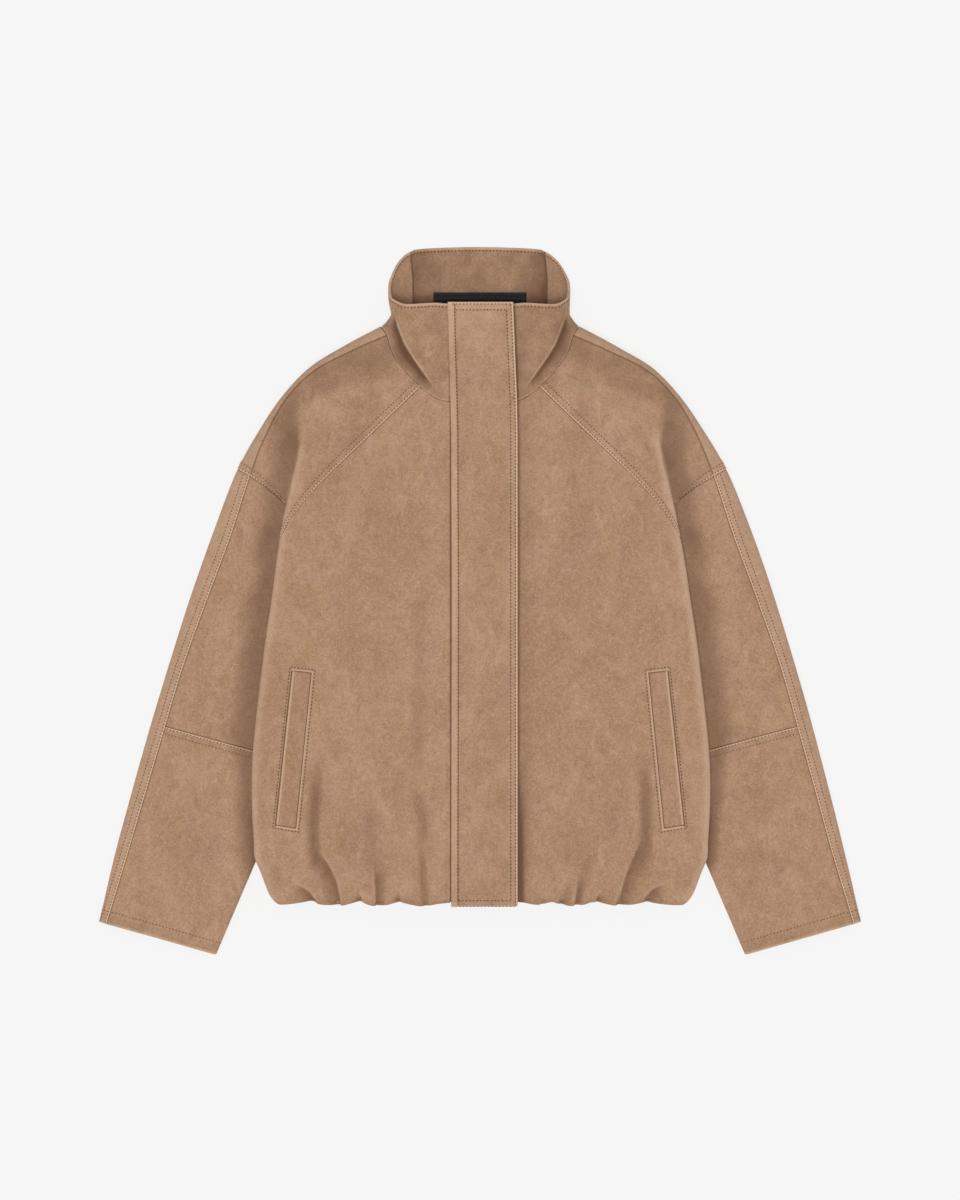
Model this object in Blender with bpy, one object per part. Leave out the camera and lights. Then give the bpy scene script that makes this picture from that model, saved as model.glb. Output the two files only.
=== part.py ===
"""A suede jacket laid flat on its back, front up, collar towards +Y.

Every piece that is cut and sewn is a closed wall of its own. A wall is a loft: a grid of
points on the garment's outer face, and the same grid moved in by the wall's thickness along
the face's normal, so that two pieces that share a seam meet edge to edge.

Shapes are worked out for one half. "across" is the distance out from the centre line, and a
piece is placed on the left or right by its sign. Sizes are in millimetres until a mesh is
made. Z = 0 is the ground that the back rests on.
"""

import bmesh
import bpy
import numpy as np

MM = 0.001
LEFT, RIGHT = -1, 1

# ------------------------------------------------------------------ walls and gaps
SUEDE = 1.6                  # wall of the body and the sleeves
COLLAR_WALL = 3.0            # two layers and their stiffening
FLAP_WALL = 3.0
WELT_WALL = 1.6
LABEL_WALL = 1.0
LIE_GAP = 0.35               # under a piece that lies on a panel

# ------------------------------------------------------------------ heights of the outer faces
MID_TOP = 18.0               # front, beside the flap
SIDE_TOP = 22.0              # front, where a sleeve lies under it
HEM_TOP = 21.0
NECK_TOP = 19.5
SLEEVE_TOP = 11.5
PINCH_TOP = 5.0              # sleeve at the underarm point
OVER_GAP = 0.8               # between the sleeve and the body that lies on it

# ------------------------------------------------------------------ body
# side fold, from above the armpit down to the hem
BODY_EDGE = (  # y, across
    (210.5, 189.0), (168.5, 188.5), (147.5, 192.2), (126.5, 197.4), (84.5, 205.8),
    (42.5, 214.2), (0.5, 220.0), (-41.5, 226.3), (-83.5, 231.5), (-125.5, 236.2),
    (-167.5, 239.9), (-209.5, 240.5), (-251.5, 238.4), (-272.5, 236.8), (-283.0, 232.5),
    (-304.0, 224.7), (-322.0, 218.0),
)
NECK_SEAM = (  # share, across, y: front centre to the raglan seam
    (0.0, -33.6, 209.0), (0.33, 0.0, 208.2), (0.68, 33.6, 209.1), (0.84, 47.2, 213.2),
    (1.0, 62.5, 224.4),
)
RAGLAN_SEAM = (  # share, across, y: neck to the armpit
    (0.0, 62.5, 224.4), (0.36, 114.0, 174.8), (0.62, 151.5, 139.1), (0.81, 177.8, 112.9),
    (0.95, 195.7, 91.9), (1.0, 201.0, 86.5),
)
RAGLAN_ROLL_SHARE = 0.95     # where the raglan seam starts over the side fold
RAGLAN_LENGTH = 185.0        # from the neck to there, about
BACK_TOP = (  # share, across, y: side fold, underarm point, back raglan seam, back neck
    (0.0, 195.0, 87.0), (0.08, 182.0, 72.0), (0.15, 171.0, 54.0), (0.22, 161.7, 36.2),
    (0.32, 140.7, 81.4), (0.42, 118.7, 128.6), (0.52, 97.7, 174.8), (0.62, 77.7, 218.9),
    (0.72, 58.8, 260.9), (0.86, 30.0, 262.4), (1.0, 0.0, 263.0),
)
SIDE_RADIUS = 8.0            # side fold, seen from above
HEM_SIDE_RADIUS = 10.0
SIDE_SEAM_TURN = 1.39        # quarter turns round the side fold to the side seam
SIDE_FOLD_TOP = 83.0

# hem: the wall rolls in and returns inside, a soft tube round the opening
HEM_Y = -319.2
LIP_REACH = 6.0              # of the roll, along Y
LIP_LENGTH = 16.0            # along the surface, half a turn
LIP_RETURN = 24.0
LIP_DEPTH_FRONT = 9.0
LIP_DEPTH_BACK = 7.0
LIP_DEPTH_SIDE = 8.0
LIP_END_RADIUS = 2.5
HEM_CORNER = 16.0
LIP_START = HEM_Y + LIP_REACH

# largest folds that the gathered hem throws up the front: foot on the hem, head, width, depth
FOLDS = {
    LEFT: (  # foot across, foot y, head across, head y, width, depth
        (172.0, -315.5, 192.0, -290.0, 5.0, 2.5),
        (141.8, -317.6, 170.0, -200.0, 6.5, 4.0),
        (105.0, -315.5, 113.0, -235.0, 5.5, 2.5),
        (58.8, -320.0, 66.0, -90.0, 7.0, 2.0),
    ),
    RIGHT: (
        (171.2, -316.6, 193.0, -292.0, 5.0, 2.5),
        (143.9, -317.6, 178.5, -199.0, 6.5, 4.0),
        (101.5, -319.3, 119.7, -262.0, 5.5, 2.5),
    ),
}

# placket flap: level with the left front along its seam, proud of the right front
FLAP_LEFT, FLAP_RIGHT = -32.6, 39.6
FLAP_TAPER = (  # y, across of its free edge
    (-322.0, 39.6), (173.0, 39.6), (210.0, 39.0), (239.0, 37.8), (312.6, 34.8),
)
FLAP_TOP_Y = 312.6
FLAP_SINK = 3.1              # of the right front under the flap's seam
FLAP_FOOT_V = -6.2           # how far the flap follows the hem's roll
LEFT_FRONT_START, RIGHT_FRONT_START = 33.0, -30.0
COLLAR_CENTRE = (  # y, height of the collar's front near the centre
    (208.4, 19.5), (218.5, 20.9), (311.0, 27.0), (314.0, 27.1),
)

# pocket welts: corners on the front, upper outer, upper inner, lower inner, lower outer
WELT_CORNERS = ((197.4, -71.9), (175.0, -74.5), (191.6, -240.6), (214.9, -236.8))

# ------------------------------------------------------------------ shoulder and sleeve
# Lines across the arm, from the neck (-1) over the dropped shoulder seam (0) and the elbow
# seam (1) to the cuff (2). Each runs from the outline in to the back raglan seam or to the
# sleeve's inner fold, bowed towards the neck. "seam" is the overarm seam's distance in.
ARM_LINES = (  # place, out across, out y, in across, in y, bow, seam, top
    (-1.0, 104.0, 288.2, 58.8, 260.9, -8.0, 10.6, 17.0),
    (-0.8, 142.2, 267.9, 77.7, 218.9, -8.0, 8.1, 16.5),
    (-0.6, 179.6, 244.4, 97.7, 174.8, -5.6, 5.8, 16.0),
    (-0.4, 209.5, 212.6, 118.7, 128.6, 2.0, 5.3, 15.0),
    (-0.2, 233.8, 176.1, 140.7, 81.4, 8.6, 9.0, 13.0),
    (0.0, 254.8, 138.1, 161.7, 36.2, 12.6, 14.5, 11.5),
    (0.25, 280.4, 71.9, 169.1, -15.2, 11.0, 18.3, 11.5),
    (0.5, 304.0, 4.7, 176.4, -66.7, 6.5, 17.5, 11.5),
    (0.75, 325.5, -62.5, 183.8, -119.2, 3.0, 15.2, 11.5),
    (1.0, 345.4, -128.3, 191.1, -170.6, 0.0, 15.4, 11.5),
    (1.33, 364.9, -196.9, 220.5, -236.8, 0.0, 14.7, 11.5),
    (1.67, 383.6, -266.2, 249.4, -304.0, 0.0, 13.0, 11.2),
    (2.0, 399.7, -335.5, 277.7, -370.1, 0.0, 8.3, 10.6),
)
ARM_RADIUS = 10.0            # outer roll, seen from above
INNER_RADIUS = 7.0           # sleeve's inner fold
PINCH_RADIUS = 3.0
SHOULDER_WIDTH = 60.0        # across the front shoulder, about
PINCH_REACH = 60.0           # over which the sleeve opens from the underarm point
ROLL_STRETCH = 1.4           # quarter turn's length over its radius
UNDERARM_TURN = 0.33         # quarter turns past the inner fold to the underarm seam
TUCK_SLOPE = 25.0            # width over which the back climbs onto the sleeve
CREASE_START, CREASE_FULL = 212.0, 160.0      # y of the fold between body and sleeve
CREASE_FOOT = 2.5
ARMPIT = (203.7, 100.8)      # where the dropped shoulder seam goes under the body
DROP_SHARE = 0.45            # of the line at 0, from the outline to the armpit
DROP_EDGE_SHARE = 0.85       # of the shoulder's lower edge that is this seam
NECK_SIDE = (  # share, across, y: shoulder seam to the raglan seam
    (0.0, 97.6, 278.4), (0.32, 90.6, 258.1), (0.65, 77.7, 240.5), (1.0, 62.5, 224.4),
)

# ------------------------------------------------------------------ collar
# Sections up the collar, from its front centre round the side to its back centre. Each
# climbs from the neck seam steeply to a ridge, then goes on to the top edge.
COLLAR_SECTIONS = (  # neck across, y, z, ridge across, y, z, top across, y, z
    (-32.0, 209.4, 19.5, -32.0, 218.6, 20.8, -32.0, 311.0, 27.0),
    (0.0, 208.8, 19.5, 0.0, 218.3, 20.8, 0.0, 311.0, 27.0),
    (33.6, 209.5, 19.5, 33.6, 219.0, 20.9, 33.6, 311.0, 27.0),
    (47.2, 213.6, 19.4, 46.0, 224.0, 21.6, 47.0, 309.5, 27.0),
    (62.3, 224.8, 19.0, 57.0, 235.5, 23.5, 60.0, 308.0, 27.0),
    (77.6, 240.9, 18.5, 69.7, 248.3, 25.0, 72.0, 307.5, 26.6),
    (90.4, 258.5, 17.6, 79.4, 263.0, 25.5, 81.0, 308.5, 25.3),
    (97.3, 278.8, 16.8, 87.5, 285.4, 24.0, 90.5, 314.0, 21.5),
    (102.1, 286.0, 14.3, 92.5, 294.0, 19.5, 94.6, 319.0, 18.5),
    (103.8, 288.6, 8.5, 95.0, 300.0, 12.5, 96.3, 325.0, 14.0),
    (102.1, 286.0, 2.6, 95.5, 298.5, 7.0, 96.3, 331.5, 10.5),
    (97.5, 279.1, 0.1, 94.0, 296.0, 3.5, 95.0, 338.0, 7.5),
    (88.4, 270.3, 0.0, 87.0, 290.0, 0.6, 88.5, 351.0, 3.0),
    (78.0, 266.1, 0.0, 78.0, 285.0, 0.0, 80.0, 361.0, 0.6),
    (70.4, 263.3, 0.0, 70.4, 283.0, 0.0, 70.6, 367.0, 0.0),
    (58.0, 261.9, 0.0, 58.0, 282.0, 0.0, 58.0, 369.4, 0.0),
    (0.0, 263.9, 0.0, 0.0, 282.0, 0.0, 0.0, 370.1, 0.0),
)
LEFT_COLLAR_START, RIGHT_COLLAR_START = 1.99, 0.06
COLLAR_BACK_SEAM = 14.0      # sections up to the seam of the back piece
COLLAR_CENTRE_BACK = 16.0
RIDGE_SHARE = 0.18
RIDGE_SOFTNESS = 0.03

# label, on the inside of the collar's back
LABEL_WIDTH = 97.6
LABEL_TOP_Y, LABEL_HEIGHT = 322.9, 40.0

COLOURS = {  # slot: red, green, blue, roughness
    "suede": (0.40, 0.235, 0.145, 0.95),
    "label_cloth": (0.012, 0.012, 0.013, 0.8),
}


# ------------------------------------------------------------------ curves and blends
def ramp(value, start, end):
    """0 before start, 1 after end, smooth between."""
    share = np.clip((value - start) / (end - start), 0, 1)
    return share * share * (3 - 2 * share)


def smooth_curve(rows):
    """Function of a table's first column that runs smoothly through its rows."""
    table = np.array(rows, float)
    table = table[np.argsort(table[:, 0])]
    knots, values = table[:, 0], table[:, 1:]
    slopes = np.gradient(values, knots, axis=0)

    def at(place):
        place = np.clip(np.asarray(place, float), knots[0], knots[-1])
        i = np.clip(np.searchsorted(knots, place) - 1, 0, len(knots) - 2)
        span = (knots[i + 1] - knots[i])[..., None]
        s = (place - knots[i])[..., None] / span
        start = (1 + 2 * s) * (1 - s) ** 2 * values[i] + s * (1 - s) ** 2 * span * slopes[i]
        end = s * s * (3 - 2 * s) * values[i + 1] + s * s * (s - 1) * span * slopes[i + 1]
        return start + end

    return at


def broken_curve(rows):
    """The same with straight runs between the rows."""
    table = np.array(rows, float)

    def at(place):
        columns = [np.interp(place, table[:, 0], column) for column in table[:, 1:].T]
        return np.stack(columns, axis=-1)

    return at


body_edge_curve = smooth_curve(BODY_EDGE)
neck_curve = smooth_curve(NECK_SEAM)
neck_side_curve = smooth_curve(NECK_SIDE)
raglan_curve = smooth_curve(RAGLAN_SEAM)
back_top_curve = broken_curve(BACK_TOP)
arm_curve = smooth_curve(ARM_LINES)
collar_curve = smooth_curve([(i, *row) for i, row in enumerate(COLLAR_SECTIONS)])
SLEEVE_LINES = [row for row in ARM_LINES if row[0] >= 0]
UNDERARM = SLEEVE_LINES[0][3:5]


def body_edge(y):
    return body_edge_curve(y)[..., 0]


def sleeve_inner(y):
    """Across of the sleeve's inner fold at this y."""
    rows = sorted((row[4], row[3]) for row in SLEEVE_LINES)
    return np.interp(y, [row[0] for row in rows], [row[1] for row in rows])


# ------------------------------------------------------------------ heights
def troughs(across, y, side):
    """Depth of the hem's folds at a point of the front."""
    depth = np.zeros(np.broadcast(across, y).shape)
    for foot_h, foot_y, head_h, head_y, width, deepest in FOLDS[side]:
        run_h, run_y = head_h - foot_h, head_y - foot_y
        length = np.hypot(run_h, run_y)
        along = ((across - foot_h) * run_h + (y - foot_y) * run_y) / length
        off = ((across - foot_h) * run_y - (y - foot_y) * run_h) / length
        fade = 1 - ramp(along / length, 0.25, 1.0)
        depth = depth + deepest * fade * np.exp(-(off / width) ** 2)
    return depth


def front_level(across, y):
    """Height of the front's outer face, without its folds."""
    outward = ramp(np.abs(across) / body_edge(y), 0.35, 0.85)
    level = MID_TOP + (SIDE_TOP - MID_TOP) * outward
    level = level + (HEM_TOP - level) * ramp(y, -230.0, -295.0)
    level = level + (NECK_TOP - level) * ramp(y, 90.0, 200.0)
    return level


def sleeve_level(across, y):
    """Greatest height of the sleeve, less near the underarm point."""
    away = np.hypot(across - UNDERARM[0], y - UNDERARM[1])
    return PINCH_TOP + (SLEEVE_TOP - PINCH_TOP) * ramp(away, 0.0, PINCH_REACH)


def under_level(across, y):
    """Height of the back's outer face: on the ground, and over the tucked sleeve."""
    climb = ramp(np.abs(across) - sleeve_inner(y), -TUCK_SLOPE, -1.0)
    above_hem = ramp(y, -299.0, -267.0)
    away = np.hypot(np.abs(across) - UNDERARM[0], y - UNDERARM[1])
    clear = OVER_GAP + 1.0 - ramp(away, 20.0, 70.0)
    return (sleeve_level(np.abs(across), y) + clear) * climb * above_hem


def flap_sink(across, y):
    """How far the right front lies lower under the flap, least at the hem."""
    outward = np.clip((across - FLAP_LEFT) / (FLAP_RIGHT - FLAP_LEFT), 0, 1)
    return FLAP_SINK * (1 - outward) * ramp(y, -316.0, -300.0)


# ------------------------------------------------------------------ body
def hem_path(v, top_y):
    """Y and roll-in of a place on the body: v is 0 to 1 from hem to top, and below 0 it is
    the way round the hem's lip, in millimetres."""
    turn = np.clip(-v / LIP_LENGTH, 0, 1) * np.pi
    back_up = np.maximum(-v - LIP_LENGTH, 0)
    y = LIP_START - LIP_REACH * np.sin(turn) + back_up
    y = y + np.maximum(v, 0) * (top_y - LIP_START)
    return y, (1 - np.cos(turn)) / 2


def side_fold_start(y, roll_in):
    """Across where the front's flat part ends, and the side fold's radius."""
    radius = SIDE_RADIUS + (HEM_SIDE_RADIUS - SIDE_RADIUS) * ramp(y, -250.0, -300.0)
    radius = radius + (LIP_END_RADIUS - radius) * roll_in
    return body_edge(y) - LIP_DEPTH_SIDE * roll_in - radius, radius


def body_point(across_share, turn, y, roll_in, start, side):
    """Point of the body. across_share runs from start to the side fold, and turn is the
    angle round that fold, 0 on the front to pi on the back."""
    corner = HEM_CORNER * (1 - np.abs(np.cos(turn))) * ramp(y, -255.0, -300.0)
    y = y + corner
    flat_end, radius = side_fold_start(y, roll_in)
    across = start + (flat_end - start) * across_share
    low = troughs(across, y, side)
    if side == RIGHT:
        low = low + flap_sink(across, y)
    front = front_level(across, y) - low * (1 - roll_in) - LIP_DEPTH_FRONT * roll_in
    back = under_level(across, y) + LIP_DEPTH_BACK * roll_in
    z = (front + back) / 2 + (front - back) / 2 * np.cos(turn)
    return np.stack([across + radius * np.sin(turn), y, z], axis=-1)


def blend_share(u, top_across, top_y, start, v):
    """Share across the flat part, which leans towards its place on the top seam."""
    flat_end, _ = side_fold_start(top_y, 0.0)
    top_share = (top_across - start) / (flat_end - start)
    return u + (top_share - u) * ramp(v, 0.0, 1.0)


def front_surface(side):
    """Front panel: u is 0 at its inner edge and 1 where the side fold starts, and goes on
    in quarter turns; v is as in hem_path."""
    start = LEFT_FRONT_START if side == LEFT else RIGHT_FRONT_START
    neck_length = NECK_SEAM[-1][1] - start
    neck_share = neck_length / (neck_length + RAGLAN_LENGTH)
    neck_first = np.interp(start, [row[1] for row in NECK_SEAM], [row[0] for row in NECK_SEAM])

    def surface(u, v):
        flat = np.minimum(u, 1.0)
        on_neck = neck_curve(neck_first + (1 - neck_first) * np.clip(flat / neck_share, 0, 1))
        raglan = np.clip((flat - neck_share) / (1 - neck_share), 0, 1)
        on_raglan = raglan_curve(raglan * RAGLAN_ROLL_SHARE)
        top = np.where((flat < neck_share)[..., None], on_neck, on_raglan)
        turn = np.maximum(u - 1, 0) * np.pi / 2
        over = np.sin(np.minimum(turn, np.pi / 2))
        top_y = top[..., 1] + (SIDE_FOLD_TOP - top[..., 1]) * over
        share = blend_share(flat, top[..., 0], top[..., 1], start, v)
        y, roll_in = hem_path(v, top_y)
        return body_point(share, turn, y, roll_in, start, side)

    return surface


def back_surface(u, v):
    """Half of the back: u is -1 at the side fold's outermost line, 0 where it ends and 1 at
    the centre."""
    flat = np.maximum(u, 0.0)
    top = back_top_curve(flat)
    share = 1 - blend_share(1 - flat, top[..., 0], top[..., 1], 0.0, v)
    y, roll_in = hem_path(v, top[..., 1])
    turn = (2 + np.minimum(u, 0.0)) * np.pi / 2
    return body_point(1 - share, turn, y, roll_in, 0.0, LEFT)


# ------------------------------------------------------------------ shoulder and sleeve
def arm_line(place, distance):
    """Plan point at a distance in from the outline along the line at this place."""
    row = arm_curve(place)
    out, inner, bow = row[..., 0:2], row[..., 2:4], row[..., 4]
    run = inner - out
    length = np.hypot(run[..., 0], run[..., 1])
    share = distance / length
    lift = 4 * bow * share * (1 - share) / length
    return np.stack([out[..., 0] + run[..., 0] * share + run[..., 1] * lift,
                     out[..., 1] + run[..., 1] * share - run[..., 0] * lift], axis=-1)


def arm_sizes(place, inner_fold):
    """Length of the line, quarter turns' lengths, and half the way round."""
    row = arm_curve(place)
    length = np.hypot(row[..., 2] - row[..., 0], row[..., 3] - row[..., 1])
    radius = (PINCH_RADIUS + (INNER_RADIUS - PINCH_RADIUS) * ramp(place, 0.0, 0.3)) * inner_fold
    quarter_out, quarter_in = ARM_RADIUS * ROLL_STRETCH, radius * ROLL_STRETCH
    half_way = quarter_out + length - ARM_RADIUS - radius + quarter_in
    return length, radius, quarter_out, quarter_in, half_way


def arm_surface(inner_fold):
    """Loop round the arm: s is the way from the outline, over the top if positive and
    underneath if negative; place is as in ARM_LINES."""
    def surface(s, place):
        length, radius, quarter_out, quarter_in, half_way = arm_sizes(place, inner_fold)
        beyond = np.abs(s) > half_way
        way = np.where(beyond, 2 * half_way - np.abs(s), np.abs(s))
        face = np.where(beyond, -np.sign(s), np.sign(s))
        turn_out = np.clip(way / quarter_out, 0, 1) * np.pi / 2
        left = half_way - way
        turn_in = np.clip(left / np.maximum(quarter_in, 1e-6), 0, 1) * np.pi / 2
        distance = ARM_RADIUS * (1 - np.cos(turn_out)) + np.maximum(way - quarter_out, 0)
        near_in = length - radius * (1 - np.cos(turn_in))
        distance = np.where(left < quarter_in, near_in, distance)
        plan = arm_line(place, distance)
        top = arm_curve(place)[..., 6]
        if inner_fold:
            top = top * sleeve_level(plan[..., 0], plan[..., 1]) / SLEEVE_TOP
        rise = np.sin(turn_out) * (np.sin(turn_in) if inner_fold else 1.0)
        z = top / 2 * (1 + face * rise)
        return np.concatenate([plan, z[..., None]], axis=-1)

    return surface


def overarm_way(place):
    """Way over the top from the outline to the overarm seam."""
    seam = arm_curve(place)[..., 5]
    quarter = ARM_RADIUS * ROLL_STRETCH
    turn = np.arccos(np.clip(1 - seam / ARM_RADIUS, 0, 1))
    return np.where(seam < ARM_RADIUS, quarter * turn / (np.pi / 2), quarter + seam - ARM_RADIUS)


def underarm_way(place):
    """Way over the top to the underarm seam, just under the inner fold."""
    _, _, _, quarter_in, half_way = arm_sizes(place, True)
    return half_way + UNDERARM_TURN * quarter_in


def sleeve_front_surface(share, place):
    """share is 0 at the overarm seam and 1 at the underarm seam."""
    start = overarm_way(place)
    return arm_surface(True)(start + (underarm_way(place) - start) * share, place)


def sleeve_back_surface(share, place):
    """share is 0 at the underarm seam and 1 at the overarm seam, round under the arm."""
    _, _, _, quarter_in, half_way = arm_sizes(place, True)
    start = -(half_way - UNDERARM_TURN * quarter_in)
    return arm_surface(True)(start + (overarm_way(place) - start) * share, place)


def shoulder_back_surface(share, place):
    """share is 0 at the back raglan seam and 1 at the shoulder seam."""
    _, _, _, _, half_way = arm_sizes(place, False)
    return arm_surface(False)(-half_way + (overarm_way(place) + half_way) * share, place)


def coons(side_a, side_b, end_a, end_b, across, along):
    """Plan patch between four edges."""
    across, along = across[..., None], along[..., None]
    corner = (end_a(np.zeros(1)), end_a(np.ones(1)), end_b(np.zeros(1)), end_b(np.ones(1)))
    sides = (1 - across) * side_a(along[..., 0]) + across * side_b(along[..., 0])
    ends = (1 - along) * end_a(across[..., 0]) + along * end_b(across[..., 0])
    corners = (1 - along) * ((1 - across) * corner[0] + across * corner[1])
    corners = corners + along * ((1 - across) * corner[2] + across * corner[3])
    return sides + ends - corners


def drop_edge(share):
    """Dropped shoulder seam, then up the body's edge to the raglan seam."""
    zero = np.zeros_like(share)
    seam = arm_curve(zero)[..., 5]
    length = arm_sizes(zero, False)[0]
    first = np.minimum(share / DROP_EDGE_SHARE, 1.0)
    on_line = arm_line(zero, seam + (DROP_SHARE * length - seam) * first)
    up = np.clip((share - DROP_EDGE_SHARE) / (1 - DROP_EDGE_SHARE), 0, 1)[..., None]
    return on_line + up * (np.array(RAGLAN_SEAM[-1][1:]) - np.array(ARMPIT))


def fold_step(inside):
    """Profile of the fold where the body lies on the sleeve: 0 outside, 1 on the body."""
    over = np.clip(inside / SIDE_RADIUS, 0, 1)
    foot = 1 + np.clip(inside / CREASE_FOOT, -1, 0)
    upper = 0.5 + 0.5 * np.sqrt(1 - (1 - over) ** 2)
    lower = 0.5 - 0.5 * np.sqrt(1 - foot ** 2)
    return np.where(inside >= 0, upper, lower)


def shoulder_plan(share, place):
    return coons(lambda a: arm_line(a - 1, arm_curve(a - 1)[..., 5]), raglan_curve,
                 neck_side_curve, drop_edge, share, place + 1)


def shoulder_front_surface(share, place):
    """Front shoulder: share is 0 at the shoulder seam and 1 at the raglan seam."""
    plan = shoulder_plan(share, place)
    across, y = plan[..., 0], plan[..., 1]
    row = arm_curve(place)
    distance = row[..., 5] + share * SHOULDER_WIDTH
    turn = np.arccos(np.clip(1 - distance / ARM_RADIUS, 0, 1))
    low = row[..., 6] / 2 * (1 + np.sin(turn))
    crease = ramp(y, CREASE_START, CREASE_FULL)
    step = fold_step(body_edge(y) - across)
    level = (1 - crease) * ramp(share, 0, 1) + crease * step
    z = low + (front_level(across, y) - low) * level
    return np.stack([across, y, z], axis=-1)


def crease_share(place):
    """Share across the front shoulder where the fold between body and sleeve lies."""
    tries = np.linspace(0, 1, 201)
    places = np.full_like(tries, place)
    plan = shoulder_plan(tries, places)
    inside = body_edge(plan[:, 1]) - plan[:, 0]
    return float(np.clip(np.interp(0, inside, tries), 0.1, 0.93))


# ------------------------------------------------------------------ collar
def collar_surface(side):
    """a counts the sections round the collar, v is 0 at the neck seam and 1 at the top."""
    def surface(a, v):
        row = collar_curve(a)
        neck, ridge, top = row[..., 0:3], row[..., 3:6], row[..., 6:9]
        past = v - RIDGE_SHARE
        up = (past + np.sqrt(past ** 2 + RIDGE_SOFTNESS ** 2)) / 2
        down = up - past
        point = ridge + (top - ridge) * (up / (1 - RIDGE_SHARE))[..., None]
        point = point + (neck - ridge) * (down / RIDGE_SHARE)[..., None]
        point[..., 2] = np.maximum(point[..., 2], 0)
        if side == RIGHT:
            point[..., 2] = point[..., 2] - flap_sink(point[..., 0], point[..., 1])
        return point

    return surface


def collar_back_surface(a, v):
    """The same past the back centre, on to the other side."""
    past = a > COLLAR_CENTRE_BACK
    point = collar_surface(LEFT)(np.where(past, 2 * COLLAR_CENTRE_BACK - a, a), v)
    point[..., 0] = np.where(past, -point[..., 0], point[..., 0])
    return point


# ------------------------------------------------------------------ what lies on the panels
def flap_base(share, v):
    """Outer face of the fronts and the collar under the flap: share is 0 at its sewn edge and
    1 at its free one, and v is as in hem_path, 1 at its top."""
    y, roll_in = hem_path(v, FLAP_TOP_Y)
    free_edge = np.interp(y, [row[0] for row in FLAP_TAPER], [row[1] for row in FLAP_TAPER])
    x = FLAP_LEFT + (free_edge - FLAP_LEFT) * share
    body = front_level(x, y)
    collar = np.interp(y, [row[0] for row in COLLAR_CENTRE], [row[1] for row in COLLAR_CENTRE])
    z = np.where(y < COLLAR_CENTRE[0][0], body, collar) - LIP_DEPTH_FRONT * roll_in
    return np.stack([x, y, z], axis=-1)


def welt_base(a, b):
    """Front's outer face under a pocket welt: a across it, b up it."""
    corners = np.array(WELT_CORNERS)
    upper = corners[1] + (corners[0] - corners[1]) * a[..., None]
    lower = corners[2] + (corners[3] - corners[2]) * a[..., None]
    plan = lower + (upper - lower) * b[..., None]
    z = front_level(plan[..., 0], plan[..., 1])
    return np.concatenate([plan, z[..., None]], axis=-1)


# ------------------------------------------------------------------ meshes
def face_normals(surface, a, b):
    """Unit normals of a surface, from its slopes."""
    tiny = 1e-3
    slope_a = surface(a + tiny, b) - surface(a - tiny, b)
    slope_b = surface(a, b + tiny) - surface(a, b - tiny)
    normal = np.cross(slope_a, slope_b)
    return normal / np.linalg.norm(normal, axis=-1, keepdims=True)


def close_wall(name, outer, inner, slot, collection):
    """Closed mesh between two matching grids of points."""
    rows, columns = outer.shape[:2]
    mesh = bpy.data.meshes.new(name)
    bm = bmesh.new()
    grids = [[[bm.verts.new(point * MM) for point in row] for row in grid]
             for grid in (outer, inner)]
    top, low = grids
    for i in range(rows - 1):
        for j in range(columns - 1):
            bm.faces.new((top[i][j], top[i][j + 1], top[i + 1][j + 1], top[i + 1][j]))
            bm.faces.new((low[i][j], low[i + 1][j], low[i + 1][j + 1], low[i][j + 1]))
    edge = [(0, j) for j in range(columns)] + [(i, columns - 1) for i in range(1, rows)]
    edge += [(rows - 1, j) for j in range(columns - 2, -1, -1)]
    edge += [(i, 0) for i in range(rows - 2, 0, -1)]
    for (i, j), (m, n) in zip(edge, edge[1:] + edge[:1]):
        bm.faces.new((top[m][n], top[i][j], low[i][j], low[m][n]))
    bmesh.ops.recalc_face_normals(bm, faces=bm.faces)
    bm.to_mesh(mesh)
    bm.free()
    mesh.shade_smooth()
    mesh.set_sharp_from_angle(angle=0.7)
    mesh.materials.append(material(slot))
    thing = bpy.data.objects.new(name, mesh)
    collection.objects.link(thing)
    return thing


def grid(surface, columns, rows, outside, inside):
    """A surface's points moved out by two distances: the wall's two faces. Columns may be a
    list for every row."""
    a = np.broadcast_to(np.asarray(columns, float), (len(rows), np.shape(columns)[-1]))
    b = np.broadcast_to(np.asarray(rows, float)[:, None], a.shape)
    points, normals = surface(a, b), face_normals(surface, a, b)
    if callable(outside):
        outside, inside = outside(points), inside(points)
    return points + normals * outside, points + normals * inside


def place_side(points, side):
    return points * np.array((side, 1, 1))


def panel(name, side, surface, columns, rows, wall, slot, collection, outside=0.0):
    outer, inner = grid(surface, columns, rows, outside, outside - wall)
    return close_wall(name, place_side(outer, side), place_side(inner, side), slot, collection)


def material(slot):
    found = bpy.data.materials.get(slot)
    if found:
        return found
    made = bpy.data.materials.new(slot)
    made.use_nodes = True
    red, green, blue, roughness = COLOURS[slot]
    shader = made.node_tree.nodes["Principled BSDF"]
    shader.inputs["Base Color"].default_value = (red, green, blue, 1)
    shader.inputs["Roughness"].default_value = roughness
    shader.inputs["Metallic"].default_value = 0.0
    made.diffuse_color = (red, green, blue, 1)
    return made


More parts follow.
